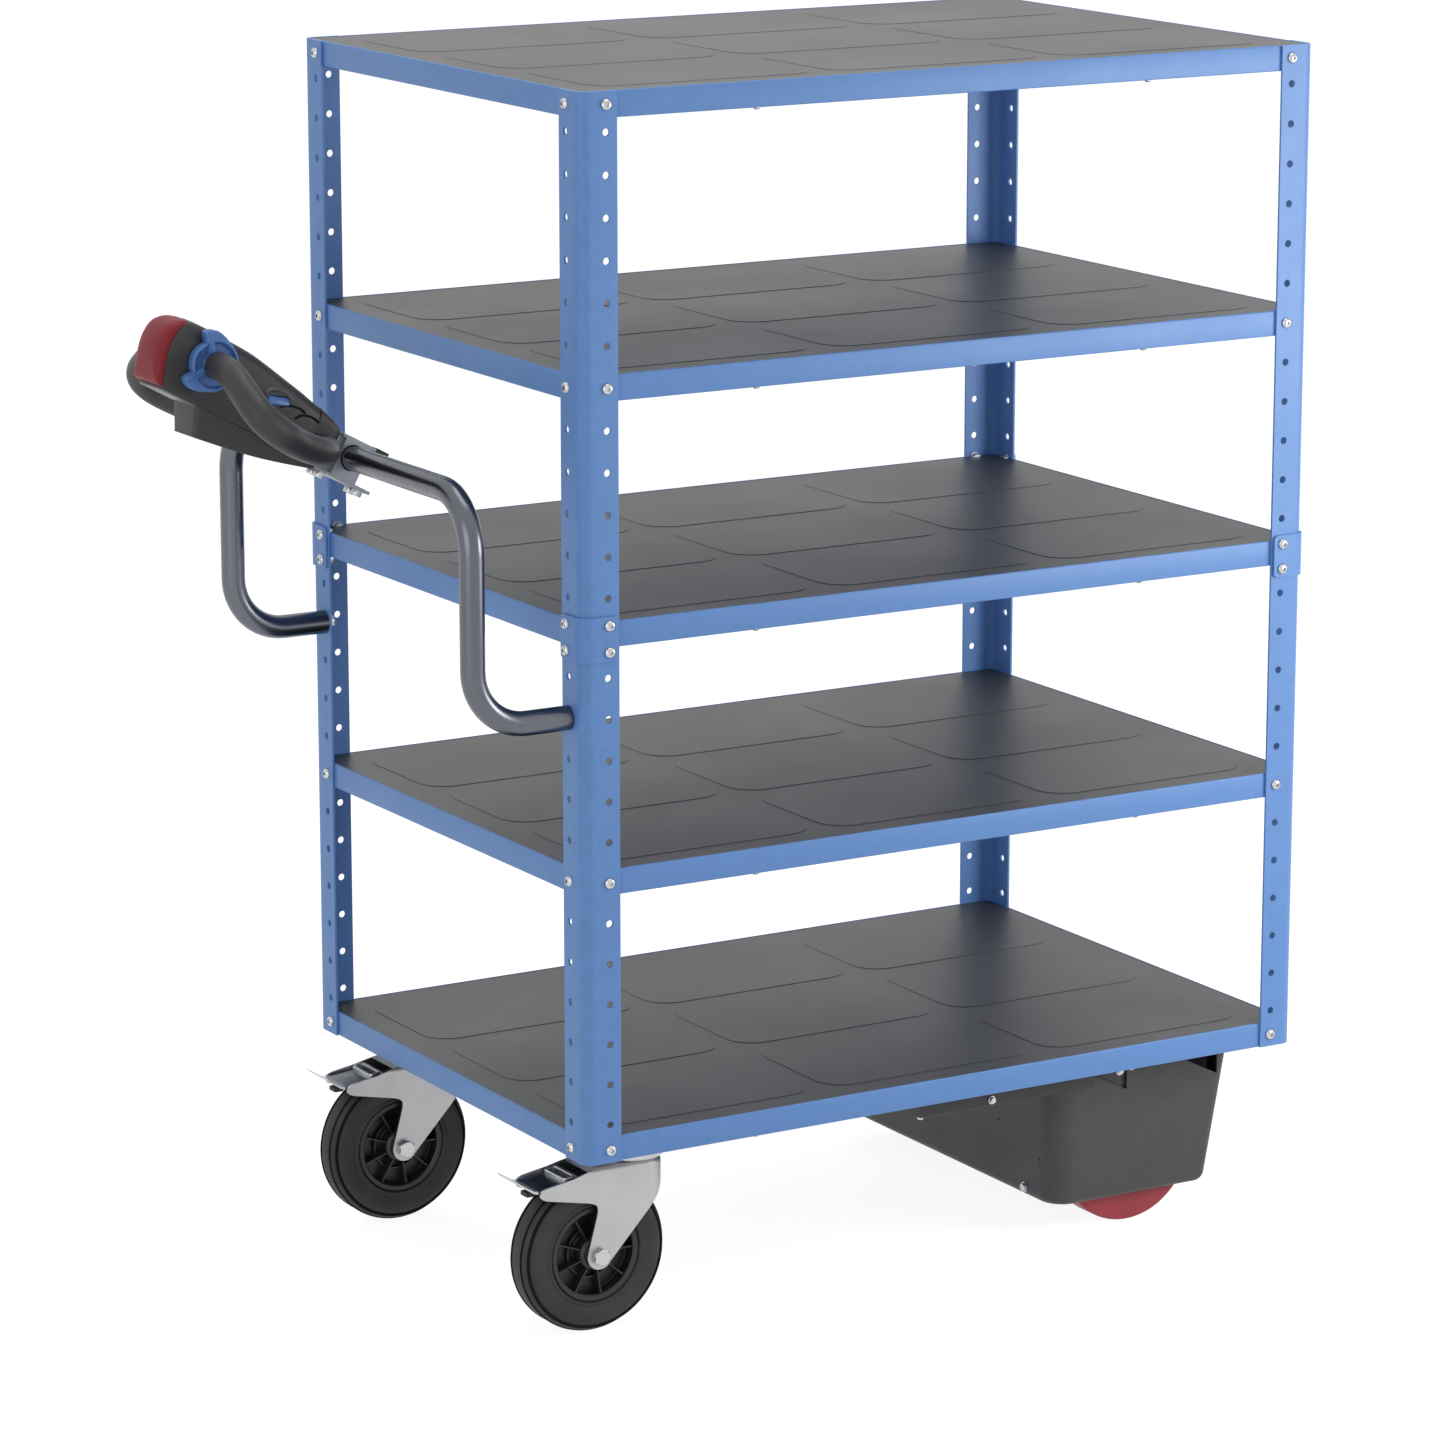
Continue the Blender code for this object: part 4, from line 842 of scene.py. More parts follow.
def add_deck(name, middle):
    """The deck with nine raised panels, in cells that share their corners."""
    top = middle + LIP_HEIGHT / 2
    start = RECESS + TRAY_SHEET + FIT
    corner = POST_BEND - start
    margin_x = (LENGTH - 2 * PANEL_PITCH_X - PANEL_LENGTH) / 2
    margin_y = (WIDTH - 2 * PANEL_PITCH_Y - PANEL_WIDTH) / 2
    half_gap_x = (PANEL_PITCH_X - PANEL_LENGTH) / 2
    half_gap_y = (PANEL_PITCH_Y - PANEL_WIDTH) / 2
    bm = bmesh.new()
    for i in range(3):
        for j in range(3):
            x = margin_x + i * PANEL_PITCH_X
            y = margin_y + j * PANEL_PITCH_Y
            x0 = start if i == 0 else x - half_gap_x
            x1 = LENGTH - start if i == 2 else x + PANEL_LENGTH + half_gap_x
            y0 = start if j == 0 else y - half_gap_y
            y1 = WIDTH - start if j == 2 else y + PANEL_WIDTH + half_gap_y
            radii = tuple(corner if (i, j) == cell else 0.0 for cell in ((2, 0), (2, 2), (0, 2), (0, 0)))
            rings = upright(rounded_rectangle(x0, x1, y0, y1, radii), top - EMBOSS)
            for inset, z in ((0.0, top - EMBOSS), (EMBOSS_SLOPE, top)):
                rings += upright(rounded_rectangle(x + inset, x + PANEL_LENGTH - inset, y + inset,
                                                   y + PANEL_WIDTH - inset, PANEL_CORNER - inset), z)
            rows = [[bm.verts.new(point) for point in ring] for ring in rings]
            bridge(bm, rows)
            bm.faces.new(rows[-1])
    bmesh.ops.remove_doubles(bm, verts=bm.verts, dist=FIT / 10)
    rim = [edge for edge in bm.edges if edge.is_boundary]
    lowered = bmesh.ops.extrude_edge_only(bm, edges=rim)["geom"]
    low_verts = [item for item in lowered if isinstance(item, bmesh.types.BMVert)]
    bmesh.ops.translate(bm, vec=(0, 0, EMBOSS - DECK_THICKNESS + FIT), verts=low_verts)
    low_edges = [item for item in lowered if isinstance(item, bmesh.types.BMEdge)]
    bmesh.ops.contextual_create(bm, geom=low_edges)
    make(f"{name}_panels", bm, DECK, node=f"{name}_deck", sharp=18.0)


def add_frame():
    for corner in CORNERS:
        add_half_post(corner, "lower", BOTTOM, JOINT - BOTTOM)
        add_half_post(corner, "upper", JOINT, TOP - JOINT)
        add_splice(corner)
    for name, middle in SHELVES.items():
        add_tray(name, middle)
        add_deck(name, middle)

    # Screw rows: height, and how far the heads stand outside and the nuts inside
    rows = [(z, 0.0, RECESS + TRAY_SHEET) for name, z in SHELVES.items() if name != "middle_shelf"]
    rows += [(z, POST_SHEET + FIT, POST_SHEET) for z in (JOINT - END_HOLE, JOINT + END_HOLE)]
    heads = []
    nuts = []
    for corner in CORNERS:
        for z, outside, inside in rows:
            heads += flange_places(corner, z, outside)
            nuts += [(spot, tuple(-a for a in axis)) for spot, axis in flange_places(corner, z, -inside)]
    add_fasteners("post_screws", button_head(*POST_SCREW), heads, BRIGHT)
    add_fasteners("post_nuts", hex_head(*POST_NUT), nuts)
    below = [((x, y, z - LIP_HEIGHT / 2), (0, 0, -1)) for z in SHELVES.values()
             for x in (UNDER_SCREW_X, LENGTH - UNDER_SCREW_X) for y in both(UNDER_SCREW_Y)]
    add_fasteners("shelf_screws", button_head(*SHELF_SCREW), below, BRIGHT)


# Handle

def add_handle():
    near, far = both(HOLE_LINE)
    path = bent_path([
        (-FIT, near, HANDLE_LOW), (-HANDLE_REACH, near, HANDLE_LOW), (-HANDLE_REACH, near, HANDLE_TOP),
        (-HANDLE_REACH, far, HANDLE_TOP), (-HANDLE_REACH, far, HANDLE_LOW), (-FIT, far, HANDLE_LOW),
    ], HANDLE_BEND, 16)
    make("handle_tube_bar", solid(swept(path, [TUBE_RADIUS] * len(path), 48)), TUBE, node="handle_tube",
         sharp=50.0)
    places = [((POST_SHEET, y, HANDLE_LOW), (1, 0, 0)) for y in (near, far)]
    add_fasteners("handle_bolts", hex_head(*HANDLE_BOLT_HEAD), places)


# Control head: s runs from the handle tube to the red button, h is the height above it

HEAD_COS = math.cos(math.radians(HEAD_TILT_DEGREES))
HEAD_SIN = math.sin(math.radians(HEAD_TILT_DEGREES))
BODY_STEP = LOOP_REAR + LOOP_RADIUS + TAIL_STEP

# The body's tail and body: shares of its length, half width and height
TAIL_SHARES = ((0.0, 0.34, 0.243), (0.06, 0.60, 0.409), (0.21, 0.78, 0.575), (0.50, 0.85, 0.752))
BODY_SHARES = ((0.0, 0.86, 0.735), (0.08, 0.92, 0.775), (0.15, 0.95, 0.815), (0.28, 0.98, 0.875),
               (0.40, 1.0, 0.93), (0.52, 1.0, 0.975), (0.65, 1.0, 0.99), (0.78, 1.0, 1.0),
               (0.87, 0.98, 1.0), (1.0, 0.95, 0.99))
# Half a section from its floor to its top: shares of its half width and height
SECTION_SHARES = ((0.93, 0.0), (0.98, 0.010), (1.0, 0.045), (1.0, 0.25), (1.0, 0.50), (0.985, 0.70),
                  (0.92, 0.87), (0.70, 0.965), (0.36, 0.992), (0.0, 1.0))
# The seam before the red button: share of the body's height and of the seam's depth
SEAM_SHARES = ((0.0, 0.75), (0.2, 0.42), (0.45, 0.08), (0.62, 0.0), (0.80, 0.14), (0.94, 0.60), (1.0, 1.0))
# The red button past the seam: its reach in metres and the share of the section
CAP_STEPS = ((0.0, 1.0), (0.0042, 1.0), (0.0060, 0.992), (0.0073, 0.972), (0.0083, 0.94), (0.0092, 0.88),
             (0.0101, 0.78), (0.0109, 0.62), (0.0115, 0.42), (0.0118, 0.20))
# The wedge's sloping floor: share of its length and of its depth
BASE_SHARES = ((0.0, 1.0), (0.30, 0.83), (0.52, 0.68), (0.73, 0.48), (1.0, 0.18))
# A knob's outline over one half turn: degrees and the share of an ear
KNOB_SHARES = ((0, 0.0), (30, -0.08), (39, -0.05), (44, 0.85), (50, 1.0), (58, 0.98), (68, 0.82),
               (80, 0.53), (95, 0.22), (112, 0.08), (135, 0.0), (158, 0.0), (180, 0.0))
# The guard loop's half from the knob to the tail: shares of its length, half width and drop
LOOP_SHARES = (
    (1.000, 0.304, 0.00), (1.000, 0.370, 0.00), (1.006, 0.500, 0.06), (1.003, 0.640, 0.18),
    (0.955, 0.855, 0.56), (0.895, 0.965, 0.80), (0.810, 1.000, 0.94), (0.690, 0.960, 1.00),
    (0.508, 0.815, 1.00), (0.284, 0.632, 0.91), (0.112, 0.400, 0.765), (0.029, 0.180, 0.645),
    (0.000, 0.000, 0.63),
)
# Curves on the head as (s, h): the hood over the side button, drawn in a lighter grey as a painted highlight,
# and two sunk arches, drawn as near-black bars that paint the shade in them
HOOD_POINTS = ((0.1535, 0.0215), (0.1500, 0.0272), (0.1410, 0.0318), (0.1300, 0.0332), (0.1205, 0.0316),
               (0.1150, 0.0285))
ARCH_FRONT_POINTS = ((0.1275, 0.0147), (0.1180, 0.0205), (0.1091, 0.0227), (0.1000, 0.0236), (0.0914, 0.0218))
ARCH_REAR_POINTS = ((0.1020, 0.0098), (0.0965, 0.0165), (0.0888, 0.0198), (0.0780, 0.0210), (0.0680, 0.0190))
# The knob's curved rib, from ear to ear, and its section as (sideways, above the knob's face)
RIB_POINTS = ((0.0262, 0.0328), (0.0185, 0.0235), (0.0118, 0.0150), (0.0060, 0.0075), (0.0038, 0.0),
              (0.0060, -0.0075), (0.0118, -0.0150), (0.0185, -0.0235), (0.0262, -0.0328))
RIB_SECTION = ((-0.0052, -0.0075), (-0.0044, -0.0018), (-0.0032, -0.0003), (0.0, 0.0003), (0.0032, -0.0003),
               (0.0044, -0.0018), (0.0052, -0.0075))
# The side button's and its pocket's steps: depth along the lean and inset
ROCKER_STEPS = ((BUTTON_PROUD - BUTTON_DEPTH, 0.0), (BUTTON_PROUD - 0.0016, 0.0),
                (BUTTON_PROUD - 0.0007, 0.0004), (BUTTON_PROUD, 0.0014))
POCKET_STEPS = ((BUTTON_PROUD - BUTTON_DEPTH - BUTTON_TRAVEL - FIT, 0.0), (CAP_LENGTH, 0.0))
SECTION_CURVE = [tuple(p) for p in smooth_path(SECTION_SHARES, 4)]
SEAM_CURVE = [tuple(p) for p in smooth_path(SEAM_SHARES, 5)]


def head_point(s, y, h):
    return (-HANDLE_REACH - s * HEAD_COS + h * HEAD_SIN, MID_WIDTH + y,
            HANDLE_TOP + s * HEAD_SIN + h * HEAD_COS)


def on_head(rings):
    """Rings of points given along the head's own axes."""
    return [[head_point(*point) for point in ring] for ring in rings]


def along_table(table, place):
    """The value of a two-column table at a place, on straight stretches."""
    for (low, start), (high, end) in zip(table, table[1:]):
        if place <= high:
            break
    return start + (end - start) * (place - low) / (high - low)


def body_section(half_width, floor, top):
    half = [(half_width * a, floor + (top - floor) * b) for a, b in SECTION_CURVE]
    return half + [(-y, h) for y, h in reversed(half[:-1])]


def section_at(s, section):
    return [head_point(s, y, h) for y, h in section]


def front_section(inset):
    _, width, height = BODY_SHARES[-1]
    return body_section(BODY_HALF_WIDTH * width - inset, BODY_FLOOR + inset,
                        BODY_FLOOR + BODY_HEIGHT * height - inset)


def on_seam(section, forward=0.0):
    """A section's points on the curved seam, or as far before it."""
    points = []
    for y, h in section:
        share = (h - BODY_FLOOR) / (BODY_HEIGHT * BODY_SHARES[-1][2])
        points.append(head_point(BODY_FRONT - SEAM_DEPTH * along_table(SEAM_CURVE, share) + forward, y, h))
    return points


def body_stations():
    """The body's places, half widths and tops from its tail to before the seam."""
    tail_rise = BODY_FLOOR + BODY_HEIGHT * BODY_SHARES[0][2] - TAIL_FLOOR
    length = BODY_FRONT - BODY_STEP
    rows = [(BODY_REAR + (BODY_STEP - BODY_REAR) * place, BODY_HALF_WIDTH * width,
             TAIL_FLOOR + tail_rise * rise) for place, width, rise in TAIL_SHARES]
    rows += [(BODY_STEP + length * place, BODY_HALF_WIDTH * width, BODY_FLOOR + BODY_HEIGHT * height)
             for place, width, height in BODY_SHARES[:-1]]
    return [tuple(row) for row in smooth_path(rows, 6)]


def flank_at(s, h):
    """Half the body's width at a place and height."""
    rows = body_stations()
    half_width = along_table([(row[0], row[1]) for row in rows], s)
    top = along_table([(row[0], row[2]) for row in rows], s)
    floor = TAIL_SKIRT if s < BODY_STEP else BODY_FLOOR
    share = (h - floor) / (top - floor)
    return half_width * along_table([(b, a) for a, b in SECTION_CURVE], share)


def rocker_rings(side, steps, grow=0.0):
    """Rings of the small side button, which leans outwards and is tilted."""
    lean = math.radians(BUTTON_LEAN_DEGREES)
    tilt = math.radians(BUTTON_TILT_DEGREES)
    rings = []
    for depth, inset in steps:
        ring = []
        for a, b in rounded_block((0, 0), BUTTON_LENGTH / 2 + grow - inset, BUTTON_WIDTH / 2 + grow - inset,
                                  max(BUTTON_CORNER + grow - inset, FIT), 5):
            along = a * math.cos(tilt) + b * math.sin(tilt)
            upward = b * math.cos(tilt) - a * math.sin(tilt)
            y = side * BUTTON_SIDE + depth * side * math.cos(lean) - upward * math.sin(lean) * side
            h = BUTTON_HEIGHT + depth * math.sin(lean) + upward * math.cos(lean)
            ring.append(head_point(BUTTON_PLACE + along, y, h))
        rings.append(ring)
    return rings


def add_head_body():
    rings = []
    last_floor = TAIL_SKIRT
    for s, half_width, top in body_stations():
        floor = TAIL_SKIRT if s < BODY_STEP - FIT else BODY_FLOOR
        if not rings:
            small = body_section(half_width * TAIL_TIP_WIDTH_SHARE, floor + TAIL_TIP_LIFT,
                                 floor + (top - floor) * TAIL_TIP_HEIGHT_SHARE)
            rings.append(section_at(s - TAIL_TIP, small))
        if floor != last_floor:
            rings.append(section_at(s - FIT, body_section(half_width, last_floor, top)))
        rings.append(section_at(s, body_section(half_width, floor, top)))
        last_floor = floor
    rings.append(on_seam(front_section(0.0)))
    rings.append(on_seam(front_section(BODY_RIM)))
    rings.append(section_at(BODY_FRONT - SEAM_DEPTH - CAP_SOCKET, front_section(BODY_RIM)))
    pockets = group([rocker_rings(side, POCKET_STEPS, RUNNING_FIT) for side, _ in SIDES])
    make("head_body_shell", carve(solid(rings), pockets), HEAD_BLACK, node="head_body", sharp=40.0)

    plug = front_section(BODY_RIM + FIT)
    middle = BODY_FLOOR + BODY_HEIGHT / 2
    rings = [section_at(BODY_FRONT - SEAM_DEPTH - CAP_OVERLAP, plug)]
    for reach, size in CAP_STEPS:
        rings.append(on_seam([(y * size, middle + (h - middle) * size) for y, h in plug], reach))
    make("belly_button_cap", solid(rings), RED_BUTTON, "belly_switch", "belly_button", sharp=50.0)

    # The chin plate is the head's black plastic, painted a lighter grey as a highlight
    chin = rounded_rectangle(BASE_FRONT_TOP + FIT, CHIN_FRONT, -CHIN_HALF_WIDTH, CHIN_HALF_WIDTH,
                             CHIN_CORNERS)
    rings = on_head(upright(chin, BODY_FLOOR - CHIN_SHEET, BODY_FLOOR - FIT / 2))
    make("head_chin_plate", solid(rings), CHIN_HIGHLIGHT, bevel=SOFT_EDGE)


def add_head_base():
    """The wedge below the body, with soft upright corners and a little draft."""
    top = BODY_FLOOR - FIT
    length = BASE_FRONT_BOTTOM - BASE_REAR
    slope = smooth_path([(1 - b, 1 - a) for a, b in reversed(BASE_SHARES)], 6)
    slope = sorted([(1 - d, 1 - a) for d, a in slope], key=lambda row: row[0])
    rings = []
    for i in range(BASE_LAYERS + 1):
        depth = BASE_LAST_SHARE * i / BASE_LAYERS
        front = BASE_FRONT_TOP + (BASE_FRONT_BOTTOM - BASE_FRONT_TOP) * depth
        reach = 1.0 if depth <= BASE_SHARES[-1][1] else along_table(slope, depth)
        rear = BASE_FRONT_BOTTOM - length * reach
        half = BASE_HALF_WIDTH + BASE_DRAFT * (0.5 - depth)
        corner = min(BASE_CORNER, (front - rear) * CORNER_SHARE)
        back = min(BASE_CORNER / 2, (front - rear) * CORNER_SHARE)
        outline = rounded_rectangle(rear, front, -half, half, (corner, corner, back, back))
        rings += upright(outline, top - BASE_DEPTH * depth)
    make("head_base_shell", solid(on_head(rings)), HEAD_BLACK, node="head_base", sharp=42.0)


def add_rockers():
    """The side buttons, with the hood and the arches round each: the hood is a lighter grey for a painted
    highlight, the arches are near-black bars for painted groove shade.
    """
    for side, name in SIDES:
        make(f"horn_rocker_{name}", solid(rocker_rings(side, ROCKER_STEPS)), CONTROL_BLUE, f"{name}_horn",
             f"horn_button_{name}", sharp=50.0)
        for label, table, radius, look in (
            ("hood", HOOD_POINTS, HOOD_RADIUS, HOOD_HIGHLIGHT),
            ("arch_front", ARCH_FRONT_POINTS, GROOVE_RADIUS, PAINTED_SHADE),
            ("arch_rear", ARCH_REAR_POINTS, GROOVE_RADIUS, PAINTED_SHADE),
        ):
            line = [head_point(s, side * flank_at(s, h), h) for s, h in smooth_path(table, 8)]
            ends = [radius * CURVE_END_SHARE]
            radii = ends + [radius] * (len(line) - 2) + ends
            make(f"head_{label}_{name}", solid(swept(line, radii, 12)), look, sharp=60.0)


def add_throttle():
    """Butterfly knobs: a dished disc with two ears and a curved rib between them."""
    upper = [(angle, KNOB_RADIUS + KNOB_EAR * share) for angle, share in smooth_path(KNOB_SHARES, 4)]
    curve = upper + [(-angle, radius) for angle, radius in reversed(upper[1:-1])]

    def inset(amount):
        return [radius - amount for _, radius in curve]

    def dish(more):
        return [min(radius - KNOB_RIM, KNOB_RADIUS - KNOB_RIM + more) for _, radius in curve]

    def disc(radius):
        return [radius] * len(curve)

    face = KNOB_THICKNESS
    floor = face - KNOB_DISH
    # The knob from its back over rim, dish and hub to its bore, in small steps: depth and radii
    rows = (
        (0.0, inset(0.0006)), (0.0006, inset(0.0)), (face - 0.0022, inset(0.0)),
        (face - 0.0008, inset(0.0006)), (face, inset(0.0018)), (face, dish(0.0004)),
        (face - 0.0010, dish(-0.0004)), (floor, dish(-0.0022)), (floor, disc(KNOB_HUB + 0.0016)),
        (floor + 0.0016, disc(KNOB_HUB)), (face - 0.0008, disc(KNOB_HUB)), (face, disc(KNOB_HUB - 0.0008)),
        (face, disc(KNOB_BORE)), (0.0, disc(KNOB_BORE)),
    )
    line = smooth_path(RIB_POINTS, 6)
    for side, name in SIDES:
        rings = []
        for depth, radii in rows:
            ring = []
            for (angle, _), radius in zip(curve, radii):
                turn = math.radians(angle)
                ring.append(head_point(KNOB_AXIS + radius * math.cos(turn), side * (KNOB_START + depth),
                                       KNOB_HEIGHT + radius * math.sin(turn)))
            rings.append(ring)
        knob = solid(rings, closed=True)
        rib = []
        for i, point in enumerate(line):
            tangent = (line[min(i + 1, len(line) - 1)] - line[max(i - 1, 0)]).normalized()
            out = Vector((-tangent.y, tangent.x))
            ring = []
            for a, depth in RIB_SECTION:
                p = point + out * a
                ring.append(head_point(KNOB_AXIS + p.x, side * (KNOB_START + face + depth),
                                       KNOB_HEIGHT + p.y))
            rib.append(ring)
        skin(knob, rib)
        make(f"throttle_wing_{name}", knob, CONTROL_BLUE, "throttle", f"throttle_knob_{name}", sharp=38.0)


def add_guard_loop():
    """The loop with its two thin spigots into the body."""
    length = KNOB_AXIS - LOOP_REAR
    corners = [Vector((LOOP_REAR + length * a, -LOOP_HALF_WIDTH * b, KNOB_HEIGHT - LOOP_DROP * c))
               for a, b, c in LOOP_SHARES]
    half = corners[:1] + smooth_path(corners[1:], 4)
    line = half + [Vector((p.x, -p.y, p.z)) for p in reversed(half[:-1])]
    count = len(line)
    radii = [LOOP_RADIUS + LOOP_SWELL * math.sin(2 * math.pi * i / (count - 1)) ** 2 for i in range(count)]
    start = tuple(line[0])
    spigot = [(start[0], -(BODY_HALF_WIDTH + FIT), start[2]), start, start]
    ends = [SPIGOT_RADIUS, SPIGOT_RADIUS, LOOP_RADIUS - LOOP_END_CHAMFER[0]]
    step = Vector((0, LOOP_END_CHAMFER[1], 0))
    line[0] = line[0] - step
    line[-1] = line[-1] + step
    path = spigot + [tuple(p) for p in line] + [(s, -y, h) for s, y, h in reversed(spigot)]
    rings = swept([head_point(*p) for p in path], ends + radii + ends[::-1], 32)
    make("guard_loop_grip", solid(rings), GRIP, node="guard_loop", sharp=50.0)


def add_clamp():
    """Two plates round the handle tube, the rubber end and the nuts below."""
    bore = TUBE_RADIUS + FIT
    roof = CLAMP_UPPER_FACE + CLAMP_PLATE
    under = CLAMP_FLOOR - CLAMP_PLATE
    for name, face, back, front, split, turn in (
        ("clamp_upper", CLAMP_UPPER_FACE, roof, CLAMP_LIP, CLAMP_SPLIT, 0),
        ("clamp_lower", CLAMP_FLOOR, under, CLAMP_TONGUE, -CLAMP_SPLIT, 360),
    ):
        outline = ([(-CLAMP_TAIL, face), (-CLAMP_BLOCK, face), (-CLAMP_BLOCK, split)]
                   + arc((0, split), bore, 180, turn, 24)
                   + [(CLAMP_BLOCK, split), (CLAMP_BLOCK, face), (front, face), (front, back),
                      (-CLAMP_TAIL, back)])
        rings = on_head(across(outline, -CLAMP_HALF_WIDTH, CLAMP_HALF_WIDTH))
        make(f"{name}_plate", solid(rings), CLAMP_STEEL, node=name, bevel=SOFT_EDGE, sharp=60.0)
    side = CLAMP_HALF_WIDTH + END_CAP_SHEET
    outline = rounded_rectangle(-CLAMP_TAIL - END_CAP_CORNER, -CLAMP_TAIL + END_CAP_LENGTH, -side, side,
                                END_CAP_CORNER)
    rings = on_head(upright(outline, CLAMP_UPPER_FACE - END_CAP_SHEET, roof + END_CAP_ROOF))
    make("clamp_end_cap", solid(rings), TYRE, bevel=SOFT_EDGE)
    places = [(head_point(s, y, under), (-HEAD_SIN, 0, -HEAD_COS))
              for s in CLAMP_NUT_PLACES for y in (-CLAMP_NUT_SIDE, CLAMP_NUT_SIDE)]
    add_fasteners("clamp_nuts", hex_head(*CLAMP_NUT), places)


# Castors

# A fork's side outline from its axle: shares of its nose or back and of its height
FORK_FRONT_SHARES = ((-1.0, 0.735), (-0.09, 0.60), (-0.01, 0.54))
FORK_BACK_SHARES = ((0.74, 0.48), (0.86, 0.58), (0.95, 0.70), (0.99, 0.83), (1.0, 1.0), (0.05, 1.0))
FORK_TOP_SHARES = ((-0.44, 0.91), (-1.0, 0.845))
# A tyre's half section from its inner edge: shares of its depth and of its half width
TYRE_SHARES = (
    (0.0, 0.80), (0.015, 0.88), (0.05, 0.945), (0.10, 0.955), (0.135, 0.92), (0.16, 0.90), (0.26, 0.935),
    (0.42, 0.975), (0.55, 0.98), (0.66, 0.955), (0.74, 0.90), (0.80, 0.84), (0.815, 0.78), (0.86, 0.77),
    (0.905, 0.70), (0.94, 0.62), (0.962, 0.54), (0.968, 0.515), (0.925, 0.50), (0.925, 0.44), (0.975, 0.42),
    (0.992, 0.25), (1.0, 0.0),
)
# Near-black beads that paint the shade in each tyre groove: shares of its depth and half width, and the
# groove's radius
TYRE_GROOVES = ((0.825, 0.815, 0.0020), (0.965, 0.47, 0.0016))
# A wheel rib's section, swollen in the middle: ways along its thickness and height, share of thickness
RIB_CORNERS = ((-1, -1, 0.6), (1, -1, 0.6), (1, 0, 1.0), (1, 1, 0.6), (-1, 1, 0.6), (-1, 0, 1.0))
# The rubber stop below a pedal's nose: its reach back, forth, to the near and far side, its
# corner radius, and the depths of its two faces
STOP_SIZES = (0.010, 0.004, 0.016, 0.002, 0.003, 0.0065, 0.0006)
# The swivel's two race rings: shares of the gap for middle and half height, then their roundness
RACE_RINGS = ((0.27, 0.25), (0.62, 0.16))
RACE_ROUND_SHARE = 0.6


def fork_plan(axle, half_width, grow):
    middle = axle[0] + FORK_BACK - FORK_INSIDE / 2 - FORK_SHEET
    nose = axle[0] - FORK_NOSE - grow
    back = arc((middle, axle[1]), half_width, -90, 90, 40)
    return [(nose, axle[1] - half_width)] + back + [(nose, axle[1] + half_width)]


def axle_rod(axle, half_length, radius):
    x, y, z = axle
    return solid([circle((x, y + side * half_length, z), radius, 32, "Y") for side, _ in SIDES])


def add_fork(name, body, axle):
    """The fork's sheet: its side outline, its plan and its inside carved from one another."""
    x, y, z = axle
    outer = FORK_INSIDE / 2 + FORK_SHEET
    wide = outer + OVERRUN
    lower, upper = ([(x + FORK_NOSE * a, z + FORK_CROWN * b) for a, b in table]
                    for table in (FORK_FRONT_SHARES, FORK_TOP_SHARES))
    behind = [(x + FORK_BACK * a, z + FORK_CROWN * b) for a, b in FORK_BACK_SHARES]
    outline = soften(lower + arc((x, z), FORK_CHIN, 170, 330, 32) + behind + upper, 0.012)
    block = solid(across(outline, y - wide, y + wide))
    low = z - FORK_CHIN - OVERRUN
    shell = upright(fork_plan(axle, outer, OVERRUN), low)
    for inward, h in arc((-CROWN_BEND, FORK_CROWN - CROWN_BEND), CROWN_BEND, 0, 90, 8):
        shell += upright(fork_plan(axle, outer + inward, OVERRUN), z + h)
    inside = solid(upright(fork_plan(axle, FORK_INSIDE / 2, 2 * OVERRUN), low - OVERRUN,
                           z + FORK_CROWN - CROWN_SHEET))
    sheet = carve(carve(block, solid(shell), "INTERSECT"), inside)
    sheet = carve(sheet, axle_rod(axle, wide, AXLE_RADIUS + FIT))
    make(f"{name}_fork_sheet", sheet, FORK_ZINC, body, f"{name}_fork", bevel=0.0007, sharp=35.0)

    face = outer + FIT
    bolt = axle_rod(axle, face, AXLE_RADIUS)
    for side, _ in SIDES:
        skin(bolt, hex_head(*AXLE_HEAD), matrix=facing((x, y + side * face, z), (0, side, 0)))
    make(f"{name}_axle_bolt", bolt, BRIGHT, body, f"{name}_axle", bevel=0.0003, sharp=25.0)


